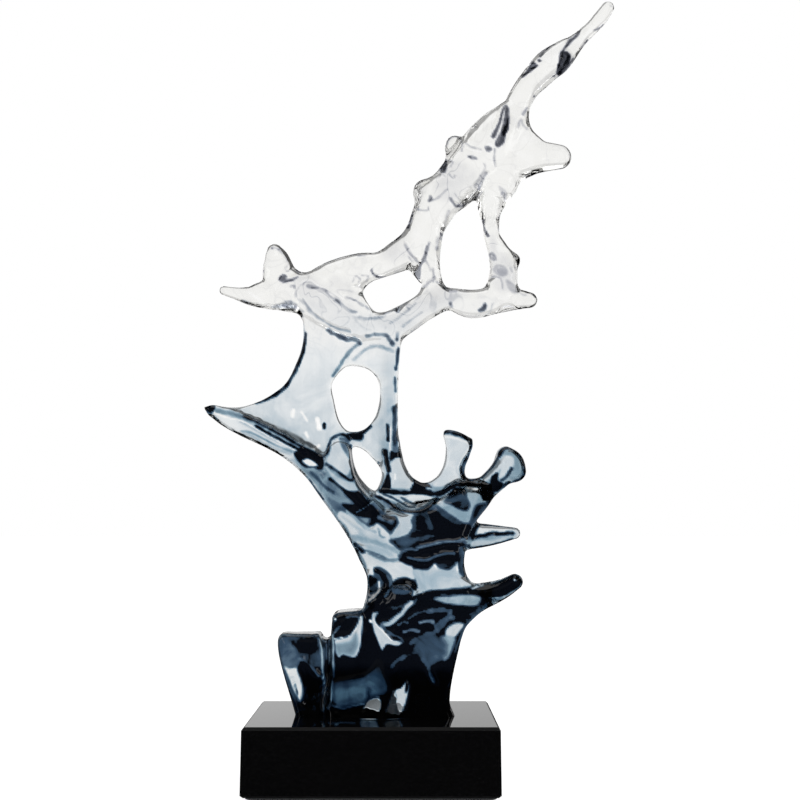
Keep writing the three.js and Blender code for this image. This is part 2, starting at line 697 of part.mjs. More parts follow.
// Finishes
const resin = new THREE.MeshStandardMaterial({
  color: 0x8fa9bf, roughness: 0.05, metalness: 0, transparent: true, opacity: 0.55,
});
const stone = new THREE.MeshStandardMaterial({ color: 0x0a0a0c, roughness: 0.08, metalness: 0 });
const adhesive = new THREE.MeshStandardMaterial({
  color: 0xc8d0d6, roughness: 0.15, metalness: 0, transparent: true, opacity: 0.5,
});
const felt = new THREE.MeshStandardMaterial({ color: 0x121214, roughness: 1, metalness: 0 });
const blackSteel = new THREE.MeshStandardMaterial({ color: 0x1d1d20, roughness: 0.45, metalness: 0.9 });
const zincSteel = new THREE.MeshStandardMaterial({ color: 0xb4b8bd, roughness: 0.35, metalness: 1 });

const sculpture = new THREE.Group();

function place(name, geometry, material, x, y, z) {
  const mesh = new THREE.Mesh(geometry, material);
  mesh.name = name;
  mesh.position.set(x, y, z);
  sculpture.add(mesh);
}

place("felt_sheet", feltGeometry(), felt, 0, 0, 0);
place("plinth_block", plinthGeometry(), stone, 0, 0, plinthBottom);
place("adhesive_layer", beddingGeometry(), adhesive, 0, 0, castingBottom);
place("resin_casting", castingGeometry(), resin, 0, 0, castingBottom);
SCREW_SPOTS.forEach(([x, y], index) => {
  const number = index + 1;
  place(`flat_washer_${number}`, flatWasherGeometry(), zincSteel, x, y, washerBottom);
  place(`lock_washer_${number}`, lockWasherGeometry(), zincSteel, x, y, headSeat);
  place(`bolt_${number}`, screwGeometry(), blackSteel, x, y, headSeat);
  place(`insert_${number}`, insertGeometry(), zincSteel, x, y, castingBottom);
});

export default sculpture;
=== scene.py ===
import math

import bmesh
import bpy
import numpy as np
import openvdb
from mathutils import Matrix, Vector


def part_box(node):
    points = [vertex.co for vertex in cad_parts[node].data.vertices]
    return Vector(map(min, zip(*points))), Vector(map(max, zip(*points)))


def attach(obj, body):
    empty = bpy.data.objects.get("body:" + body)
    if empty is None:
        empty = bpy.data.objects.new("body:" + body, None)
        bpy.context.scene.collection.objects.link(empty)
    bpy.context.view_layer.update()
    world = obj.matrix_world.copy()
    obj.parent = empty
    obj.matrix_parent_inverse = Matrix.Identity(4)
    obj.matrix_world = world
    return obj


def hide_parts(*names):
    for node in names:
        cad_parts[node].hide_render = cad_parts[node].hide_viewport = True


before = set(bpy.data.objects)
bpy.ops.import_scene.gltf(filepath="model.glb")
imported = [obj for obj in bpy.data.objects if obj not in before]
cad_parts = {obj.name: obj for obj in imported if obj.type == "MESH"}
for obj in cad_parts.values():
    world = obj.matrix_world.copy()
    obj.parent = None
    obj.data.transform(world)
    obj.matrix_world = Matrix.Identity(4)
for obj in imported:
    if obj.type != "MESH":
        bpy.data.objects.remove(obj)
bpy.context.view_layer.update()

# The camera stands just under 0.9 m in front of the sculpture and a quarter of a metre above the
# table, and looks slightly up, so that the plinth shows its top and the tip stays in the picture.
camera_place = (0.0257, -0.8786, 0.2446)
camera_tilt = 0.1338
camera_data = bpy.data.cameras.new("camera")
camera_data.sensor_width = 36
camera_data.lens = 40.01
camera_data.clip_start = 0.01
camera_data.clip_end = 50
camera = bpy.data.objects.new("camera", camera_data)
camera.location = camera_place
camera.rotation_euler = (math.pi / 2 + camera_tilt, 0, 0)
bpy.context.scene.collection.objects.link(camera)
bpy.context.scene.camera = camera


# Felt sheet: 2 mm of pressed black wool felt, glued under the stone. It hides the screw pockets
# and keeps the stone from scratching the table.
def new_material(name):
    material = bpy.data.materials.new(name)
    material.use_nodes = True
    nodes = material.node_tree.nodes
    return material, nodes, material.node_tree.links, nodes["Principled BSDF"]


def noise(scale, detail=2, distortion=0):
    """Noise from 0 to 1 in the piece's own coordinates."""
    node = nodes.new("ShaderNodeTexNoise")
    for name, setting in (("Scale", scale), ("Detail", detail), ("Distortion", distortion)):
        node.inputs[name].default_value = setting
    links.new(place.outputs["Object"], node.inputs["Vector"])
    return node.outputs["Fac"]


def toned(value, *stops):
    """Colours that run into each other, each with the value at which it is full."""
    node = nodes.new("ShaderNodeValToRGB")
    elements = node.color_ramp.elements
    for position, colour in stops[1:-1]:
        elements.new(position).color = (*colour, 1)
    for end in (0, -1):
        elements[end].position = stops[end][0]
        elements[end].color = (*stops[end][1], 1)
    links.new(value, node.inputs["Fac"])
    return node.outputs["Color"]


def dress(node, material):
    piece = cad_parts[node]
    piece.data.materials.clear()
    piece.data.materials.append(material)


felt, nodes, links, shader = new_material("black_wool_felt")
place = nodes.new("ShaderNodeTexCoord")
fibres = noise(scale=900, detail=5)
fibre_tone = toned(fibres, (0.35, (0.012, 0.012, 0.013)), (0.7, (0.045, 0.044, 0.047)))
links.new(fibre_tone, shader.inputs["Base Color"])
nap = nodes.new("ShaderNodeBump")
nap.inputs["Strength"].default_value = 0.6
nap.inputs["Distance"].default_value = 0.0004
links.new(fibres, nap.inputs["Height"])
links.new(nap.outputs["Normal"], shader.inputs["Normal"])
shader.inputs["Roughness"].default_value = 0.95
shader.inputs["Sheen Weight"].default_value = 0.3
dress("felt_sheet", felt)


# Plinth block: a solid block of black stone with a fine chamfer, ground and polished to a mirror.
# It is bored from below for three screws.
def combine(operation, *values):
    """One sum on numbers or on what other nodes give."""
    node = nodes.new("ShaderNodeMath")
    node.operation = operation
    for socket, value in zip(node.inputs, values):
        if isinstance(value, (int, float)):
            socket.default_value = value
        else:
            links.new(value, socket)
    return node.outputs[0]


def ramp(value, start, end, low=0, high=1, curve="SMOOTHSTEP"):
    """From low to high while the value goes from start to end."""
    node = nodes.new("ShaderNodeMapRange")
    node.interpolation_type = curve
    for name, setting in (("From Min", start), ("From Max", end), ("To Min", low), ("To Max", high)):
        node.inputs[name].default_value = setting
    links.new(value, node.inputs["Value"])
    return node.outputs["Result"]


stone, nodes, links, shader = new_material("polished_black_stone")
place = nodes.new("ShaderNodeTexCoord")
grain = noise(scale=420, detail=6)
grain_tone = toned(grain, (0.45, (0.0022, 0.0022, 0.0024)), (0.8, (0.006, 0.006, 0.0066)))
links.new(grain_tone, shader.inputs["Base Color"])
polish = ramp(grain, start=0, end=1, low=0.03, high=0.07, curve="LINEAR")
# The chamfer is only honed. It slants, so the squares of its normal make a vector under one long.
squares = nodes.new("ShaderNodeVectorMath")
squares.operation = "MULTIPLY"
links.new(place.outputs["Normal"], squares.inputs[0])
links.new(place.outputs["Normal"], squares.inputs[1])
straightness = nodes.new("ShaderNodeVectorMath")
straightness.operation = "LENGTH"
links.new(squares.outputs["Vector"], straightness.inputs[0])
honed = ramp(straightness.outputs["Value"], start=0.95, end=0.8, high=0.5, curve="LINEAR")
links.new(combine("ADD", polish, honed), shader.inputs["Roughness"])
dress("plinth_block", stone)


# Socket-head screws: steel with a black oxide finish. They come up through the stone from below
# into the inserts in the resin.
black_steel, nodes, links, shader = new_material("black_oxide_steel")
place = nodes.new("ShaderNodeTexCoord")
oxide_tone = toned(noise(scale=600), (0, (0.012, 0.012, 0.014)), (1, (0.035, 0.035, 0.04)))
links.new(oxide_tone, shader.inputs["Base Color"])
shader.inputs["Metallic"].default_value = 0.9
shader.inputs["Roughness"].default_value = 0.42
for number in (1, 2, 3):
    dress(f"bolt_{number}", black_steel)


# Flat washers, split spring washers and threaded inserts: zinc-plated steel. The washers spread
# each screw's load on the stone, and the inserts are cast into the resin.
zinc_steel, nodes, links, shader = new_material("zinc_plated_steel")
place = nodes.new("ShaderNodeTexCoord")
plating_tone = toned(noise(scale=350), (0, (0.62, 0.63, 0.65)), (1, (0.86, 0.86, 0.86)))
links.new(plating_tone, shader.inputs["Base Color"])
shader.inputs["Metallic"].default_value = 1
shader.inputs["Roughness"].default_value = 0.5
for number in (1, 2, 3):
    dress(f"flat_washer_{number}", zinc_steel)
    dress(f"lock_washer_{number}", zinc_steel)
    dress(f"insert_{number}", zinc_steel)


# Resin casting: epoxy poured in one silicone mould, dyed navy below and left clear above, then
# polished by hand. Its pattern is built of limbs and slabs that flow into each other, in
# millimetres, with heights above the foot's underside.
mm = 0.001
foot_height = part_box("resin_casting")[0].z
fillet = 9
hole_rounding = 5
web_thickness = 9

# A limb's stations are (x, y, z, radius), and its first number is its depth over its width.
limbs = {
    "spike": (0.85, [
        (-156.7, -14.5, 287, 5.6), (-144.5, -13, 281, 8.5), (-126, -10, 273, 10.5), (-100, -6, 262, 11.5),
        (-78.5, -3, 250.5, 12.5), (-56.5, -1, 233.5, 14.5), (-38, 0, 212.5, 16.8), (-13, -2, 184.5, 20.5),
        (8, -3, 160, 26), (24, -2, 138, 26),
    ]),
    "rod": (0.9, [
        (22, 12, 215, 12), (19, 12.5, 240, 8), (16.5, 13, 262, 6.5), (16, 13, 290, 6.3), (16, 13, 320, 6.3),
        (17.5, 11, 345, 6.8), (19, 9, 365, 8.5), (22, 6, 380, 11),
    ]),
    "crown_knob": (0.9, [
        (88, 2, 203, 16), (106.5, -3, 211, 12), (119.5, -8, 222, 12), (129, -12, 232.5, 13),
    ]),
    "crown_knob_lip": (1, [(128.5, -10, 245, 7.8), (134.5, -14, 237, 10.2), (137.5, -16, 228.5, 9.2)]),
    "horn": (0.7, [(72, 14, 164, 13), (100, 21, 166, 12.5), (121, 26, 167, 9.8), (141.5, 30, 168.5, 5.8)]),
    "ledge": (0.9, [
        (50, -6, 98, 18), (80, -10, 103, 15), (103.5, -15, 110, 12.5), (121.5, -19, 116.5, 9.5),
        (134.5, -22, 124, 7.5),
    ]),
    "peg": (1, [(4, -16, 99, 12), (20, -22, 106, 11), (33, -27, 112, 9.5)]),
    "beam": (0.8, [
        (-78, -6, 402.5, 13), (-60, -5, 397, 16), (-40, -4, 388.5, 17.5), (-18, -1, 377.5, 14.5),
        (2, 3, 376, 12.5), (25, 5, 381, 15), (50, 3, 397, 15), (75, -2, 403, 11.5), (98, -6, 397, 14.5),
        (123.5, -9, 400, 13), (143.5, -12, 400, 10), (154.5, -14, 399, 8),
    ]),
    "saddle": (0.7, [
        (-82, -2, 413.5, 17), (-64, -1, 416, 15.5), (-41, 1, 427, 17), (-16, 3, 435.5, 16.5),
        (6, 5, 440.5, 14), (26, 6, 451, 16.5), (46, 5, 465, 18),
    ]),
    "fishtail_left": (0.55, [
        (-82, -4, 405, 12), (-97.5, -5.5, 405.5, 14), (-111.5, -7, 406, 13.5), (-124, -9, 404.5, 9.5),
        (-136.5, -12, 406, 6.5), (-150, -15, 408.5, 4.5),
    ]),
    "fishtail_upper": (0.55, [
        (-85.5, -4, 409.5, 15), (-96, -3, 427, 16.5), (-99.5, 1, 443, 13), (-103, 6, 454.5, 8.2),
    ]),
    "upper_trunk": (0.65, [
        (58, -3, 411, 12), (51, 1, 445.5, 17), (52.5, 5, 478, 18.5), (63.5, 8, 503, 21.5),
        (82.5, 10, 526.5, 24), (102.5, 12, 548, 28), (117, 13, 565.5, 30), (129, 14, 584.5, 26),
        (141.5, 14, 601, 19.5), (148.5, 14, 613, 14.5), (152.5, 14, 623, 13.5), (160.5, 14, 636.5, 13.5),
        (170.5, 13, 648, 15), (182, 12, 660, 16.5), (191, 10, 666.5, 16.5), (200.5, 8, 674, 13.5),
        (209.5, 5, 681, 10), (218.5, 2, 688.5, 8), (228, -2, 696, 7.3), (236.5, -5, 705, 7.6),
        (244, -8, 715, 6.6),
    ]),
    "trunk_shelf": (0.8, [(72.5, 7, 520, 16), (52, 3, 518, 12.5)]),
    "trunk_nub": (0.5, [(82.5, 5, 560, 7.4), (81.5, 5, 565.5, 8.6), (82.5, 5, 570.5, 8.2)]),
    "paddle": (0.5, [
        (118.5, 12, 553, 25), (151, 15, 560, 22), (173.5, 19, 562.5, 17), (194, 23, 564, 13.5),
    ]),
    "paddle_root": (0.6, [(149, 14, 591, 12), (160, 16, 574, 14)]),
    "paddle_web": (0.6, [(140, 13, 541, 12), (155, 15, 551, 10)]),
    "right_limb": (0.8, [
        (129, 11, 529, 18.5), (119.5, 10, 504, 13), (119.5, 8, 486.5, 8.7), (120.5, 6, 470, 8.5),
        (126.5, 1, 452.5, 11), (130, -4, 435.5, 13.5), (128.5, -7, 415, 15),
    ]),
    "limb_nub": (1, [(131, -3, 444, 8), (141, -7, 442.5, 5)]),
}

# A slab has the rounding of its rim, its outline (x, z), and the planes of its front and of its back,
# each through three points (x, z, y).
web_front = [(-160, 290, -16), (20, 300, 8), (-40, 380, 0)]
slabs = {
    "foot_left": (7, [
        (-49, -14), (-49, 40), (-50, 71.5), (-60, 74), (-74, 74), (-87, 74), (-91.5, 68), (-90.5, 55),
        (-86, 38), (-80, 20), (-73.5, 0), (-70.5, -14),
    ], [[(-50, 0, -16), (-90, 74, -9), (-50, 74, -15)]], [[(-50, 0, 24), (-90, 74, 15), (-50, 74, 20)]]),
    "foot_web": (5, [
        (-60, -14), (-60, 55), (-50, 65), (-38, 66), (-20, 55), (-20, -14),
    ], [[(-60, 0, -9), (-20, 0, -9), (-40, 60, -7)]], [[(-60, 0, 21), (-20, 0, 21), (-40, 60, 17)]]),
    "foot_middle": (8, [
        (-39, -14), (-40, 40), (-39, 84), (-37, 93), (-26, 95.5), (-8, 96), (8, 93), (16, 84), (18, 40),
        (16, -14),
    ], [[(-40, 0, -25), (-40, 98, -20), (10, 0, -28)]], [[(-40, 0, 26), (-40, 98, 21), (10, 0, 30)]]),
    "foot_right": (8, [
        (-12, -14), (-12, 50), (-4, 92), (20, 108), (60, 112), (98, 116), (111, 109), (99.5, 94), (87.5, 79),
        (80.5, 56), (74.5, 30), (72.5, 12), (73, -14),
    ], [[(20, 0, -28), (70, 0, -20), (60, 110, -22)], [(-12, 0, -25), (20, 0, -28.5), (-12, 100, -21)]],
       [[(20, 0, 33), (70, 0, 28), (60, 110, 25)], [(-12, 0, 27), (20, 0, 33), (-12, 100, 22)]]),
    "trunk": (11, [
        (30, 78), (2, 84), (-4, 102), (-5, 114), (-5, 127), (-8, 138), (-11, 148), (-8, 160), (4, 172),
        (14, 186), (30, 195), (60, 199), (86, 210), (106, 212), (112, 201), (105, 188), (96, 175), (90, 160),
        (87, 144), (88, 134), (92, 122), (94, 108), (88, 90), (70, 80),
    ], [[(40, 90, -24), (40, 200, -33), (90, 150, -26)], [(40, 160, -31), (40, 212, -1), (90, 160, -27)],
        [(-8, 140, -17), (-8, 180, -14), (25, 140, -27)]],
       [[(40, 90, 26), (40, 200, 27), (90, 150, 27)], [(-8, 140, 16), (-8, 180, 13), (25, 140, 27)]]),
    "thumb": (5, [
        (-47, 218), (-46, 232), (-46, 245), (-41, 254), (-32, 257), (-23.5, 251), (-21, 236), (-18, 222),
        (-10, 206), (4, 192), (-8, 178), (-28, 198),
    ], [[(-40, 190, -12), (-40, 250, -22), (0, 190, -14)]], [[(-40, 190, 6), (-40, 250, 5), (0, 190, 10)]]),
    "shoulder": (6, [
        (-62, 398), (-52, 430), (-22, 436), (-6, 428), (-12, 410), (-4, 390), (-22, 380), (-45, 390),
    ], [[(-60, 400, -8), (0, 400, -7), (-40, 430, -6)]], [[(-60, 400, 6), (0, 400, 6), (-40, 430, 7)]]),
    "crown": (6, [
        (-10, 185), (1, 207), (9, 222), (12, 242), (13, 262), (20, 262), (24, 250), (28, 237), (37, 224),
        (49, 218), (61, 223), (69, 236), (71.5, 254), (69, 268), (77, 271), (92, 264.5), (97.5, 257),
        (94, 245), (89.5, 232), (91, 221.5), (103, 218), (112, 210), (106, 195), (60, 180),
    ], [[(0, 200, 2), (20, 250, 5), (98, 250, -3)]], [[(0, 200, 20), (20, 250, 20), (98, 250, 14)]]),
    "web": (web_thickness / 2, [
        (-166, 291), (-143, 290), (-115, 298), (-96.5, 309.5), (-86.5, 320), (-80, 334.5), (-74.5, 349),
        (-72, 362), (-72, 376), (-71, 396), (-60, 408), (-40, 412), (-20, 408), (-2, 398), (12, 392),
        (20, 384), (22, 372), (22, 345), (20.5, 310), (20, 281), (21, 252), (22, 225), (0, 205), (-25, 200),
        (-50, 225), (-79, 245), (-122, 272), (-150, 284),
    ], [web_front], [[(x, z, y + web_thickness) for x, z, y in web_front]]),
}

# Openings that go right through from front to back, as outlines (x, z).
openings = {
    "egg": [
        (98, 503), (86, 499.5), (80, 491), (72.5, 475), (68, 457), (66, 438), (69, 423), (77, 416), (90, 414),
        (107, 417), (113, 423), (115.5, 436), (113, 450), (111, 471), (109, 487), (104.5, 498),
    ],
    "bean": [
        (-9, 411), (-2.5, 422), (8, 427), (28, 432.5), (37, 430.5), (45, 423), (49.5, 419), (46, 411),
        (37, 403), (23, 397), (9, 391.5), (-2.5, 394),
    ],
    "oval": [
        (-30, 335), (-15, 336), (-4, 332), (4, 322), (6, 307), (3.5, 290), (-2.5, 278), (-12.5, 270),
        (-26.5, 269.5), (-35.5, 280), (-41, 300), (-43, 318),
    ],
    "leaf": [
        (-22.5, 253.5), (-13.5, 253.5), (-3.5, 246), (8.5, 229), (1.5, 210), (-12.5, 220.5), (-20.5, 236),
    ],
}

# The pattern is held as distances to its skin on a fine grid, and the skin is drawn where they are zero.
cell = 1.6
pour_low = np.array([-180, -46, -6 * cell])
pour_high = np.array([262, 46, 732])
counts = np.ceil((pour_high - pour_low) / cell).astype(int) + 1
grid = [pour_low[axis] + cell * np.arange(counts[axis]) for axis in range(3)]
level = np.full(counts, fillet, np.float32)


def smooth_min(a, b, reach):
    """The smaller distance, rounded over where both are nearly the same."""
    near = np.maximum(reach - np.abs(a - b), 0) / reach
    return np.minimum(a, b) - near * near * reach / 4


def window(low, high):
    """The part of the grid between two corners, and its x, y and z."""
    first = np.maximum(np.floor((np.array(low) - pour_low) / cell).astype(int), 0)
    last = np.minimum(np.ceil((np.array(high) - pour_low) / cell).astype(int) + 1, counts)
    part = tuple(slice(a, b) for a, b in zip(first, last))
    x, y, z = (grid[axis][part[axis]].astype(np.float32) for axis in range(3))
    return part, x[:, None, None], y[None, :, None], z[None, None, :]


def flowing(points, closed, steps=6):
    """A smooth line through the points, with even steps between each two."""
    points = np.array(points, float)
    if closed:
        ring = np.vstack([points[-1:], points, points[:2]])
    else:
        ring = np.vstack([2 * points[:1] - points[1:2], points, 2 * points[-1:] - points[-2:-1]])
    t = (np.arange(steps) / steps)[:, None]
    line = []
    for a, b, c, d in zip(ring, ring[1:], ring[2:], ring[3:]):
        line.append(b + 0.5 * t * (c - a + t * (2 * a - 5 * b + 4 * c - d + t * (3 * (b - c) + d - a))))
    return np.vstack(line) if closed else np.vstack(line + [points[-1:]])


def add_limb(flat, stations):
    """A rod through its stations, flattened from front to back, blended into the rest."""
    line = flowing(stations, False)
    reach = line[:, 3].max() + fillet
    whole, _, _, _ = window(line[:, :3].min(0) - reach, line[:, :3].max(0) + reach)
    form = np.full(counts, fillet, np.float32)
    for a, b in zip(line, line[1:]):
        part, x, y, z = window(np.minimum(a, b)[:3] - reach, np.maximum(a, b)[:3] + reach)
        ex, ey, ez = b[0] - a[0], (b[1] - a[1]) / flat, b[2] - a[2]
        px, py, pz = x - a[0], (y - a[1]) / flat, z - a[2]
        t = np.clip((px * ex + py * ey + pz * ez) / (ex * ex + ey * ey + ez * ez), 0, 1)
        far = np.sqrt((px - t * ex) ** 2 + (py - t * ey) ** 2 + (pz - t * ez) ** 2)
        form[part] = np.minimum(form[part], far - (a[3] + t * (b[3] - a[3])))
    level[whole] = smooth_min(level[whole], form[whole], fillet)


def outline_distance(outline, x, z):
    """How far (x, z) is from the outline, below zero inside it."""
    nearest = np.full(np.broadcast(x, z).shape, np.inf, np.float32)
    inside = np.zeros(nearest.shape, bool)
    for (ax, az), (bx, bz) in zip(outline, np.roll(outline, 1, 0)):
        ex, ez = bx - ax, bz - az
        t = np.clip(((x - ax) * ex + (z - az) * ez) / (ex * ex + ez * ez), 0, 1)
        nearest = np.minimum(nearest, (x - ax - t * ex) ** 2 + (z - az - t * ez) ** 2)
        if az != bz:
            inside ^= ((az > z) != (bz > z)) & (x < ax + ex * (z - az) / ez)
    return np.where(inside, -np.sqrt(nearest), np.sqrt(nearest))


def plane_through(points, x, y, z):
    """How far (x, y, z) is behind the plane through three points."""
    (x1, z1, y1), (x2, z2, y2), (x3, z3, y3) = points
    turn = (x2 - x1) * (z3 - z1) - (x3 - x1) * (z2 - z1)
    slope_x = ((y2 - y1) * (z3 - z1) - (y3 - y1) * (z2 - z1)) / turn
    slope_z = ((x2 - x1) * (y3 - y1) - (x3 - x1) * (y2 - y1)) / turn
    return (y - y1 - slope_x * (x - x1) - slope_z * (z - z1)) / math.hypot(1, slope_x, slope_z)


def add_slab(edge, outline, fronts, backs):
    """A plate with a rounded rim between its front and back planes, blended into the rest."""
    rim = flowing(outline, True)
    (low_x, low_z), (high_x, high_z) = rim.min(0) - fillet, rim.max(0) + fillet
    part, x, y, z = window((low_x, pour_low[1], low_z), (high_x, pour_high[1], high_z))
    across = outline_distance(rim, x, z) + edge
    through = np.full(level[part].shape, edge - 2 * pour_high[1], np.float32)
    for side, planes in ((-1, fronts), (1, backs)):
        for plane in planes:
            through = -smooth_min(-through, -side * plane_through(plane, x, y, z) - edge, fillet)
    outside = np.hypot(np.maximum(across, 0), np.maximum(through, 0))
    form = outside + np.minimum(np.maximum(across, through), 0) - edge
    level[part] = smooth_min(level[part], np.minimum(form, fillet), fillet)


def cut_opening(outline):
    """A hole from front to back, with rounded edges."""
    rim = flowing(outline, True)
    (low_x, low_z), (high_x, high_z) = rim.min(0) - hole_rounding, rim.max(0) + hole_rounding
    part, x, y, z = window((low_x, pour_low[1], low_z), (high_x, pour_high[1], high_z))
    hole = np.minimum(outline_distance(rim, x, z) + hole_rounding / 4, hole_rounding)
    level[part] = -smooth_min(-level[part], hole, hole_rounding)


for limb in limbs.values():
    add_limb(*limb)
for slab in slabs.values():
    add_slab(*slab)
for opening in openings.values():
    cut_opening(opening)

# The marks were noted in the photograph and in enlarged close-ups of it. A close-up is the
# photo pixel at its upper left corner, across and down, and how many times it was enlarged.
photo = (0, 0, 1)
stem_view = (340, 420, 8.2526)
spike_view = (195, 395, 8.2526)
horn_view = (280, 320, 8.711)
beam_view = (215, 240, 8.2526)
egg_view = (370, 200, 8.711)
lobe_view = (400, 110, 8.711)
arm_view = (470, 0, 10.453)
foot_view = (260, 560, 3.83)
slot_view = (300, 240, 6.225)
flank_view = (335, 500, 9.96)
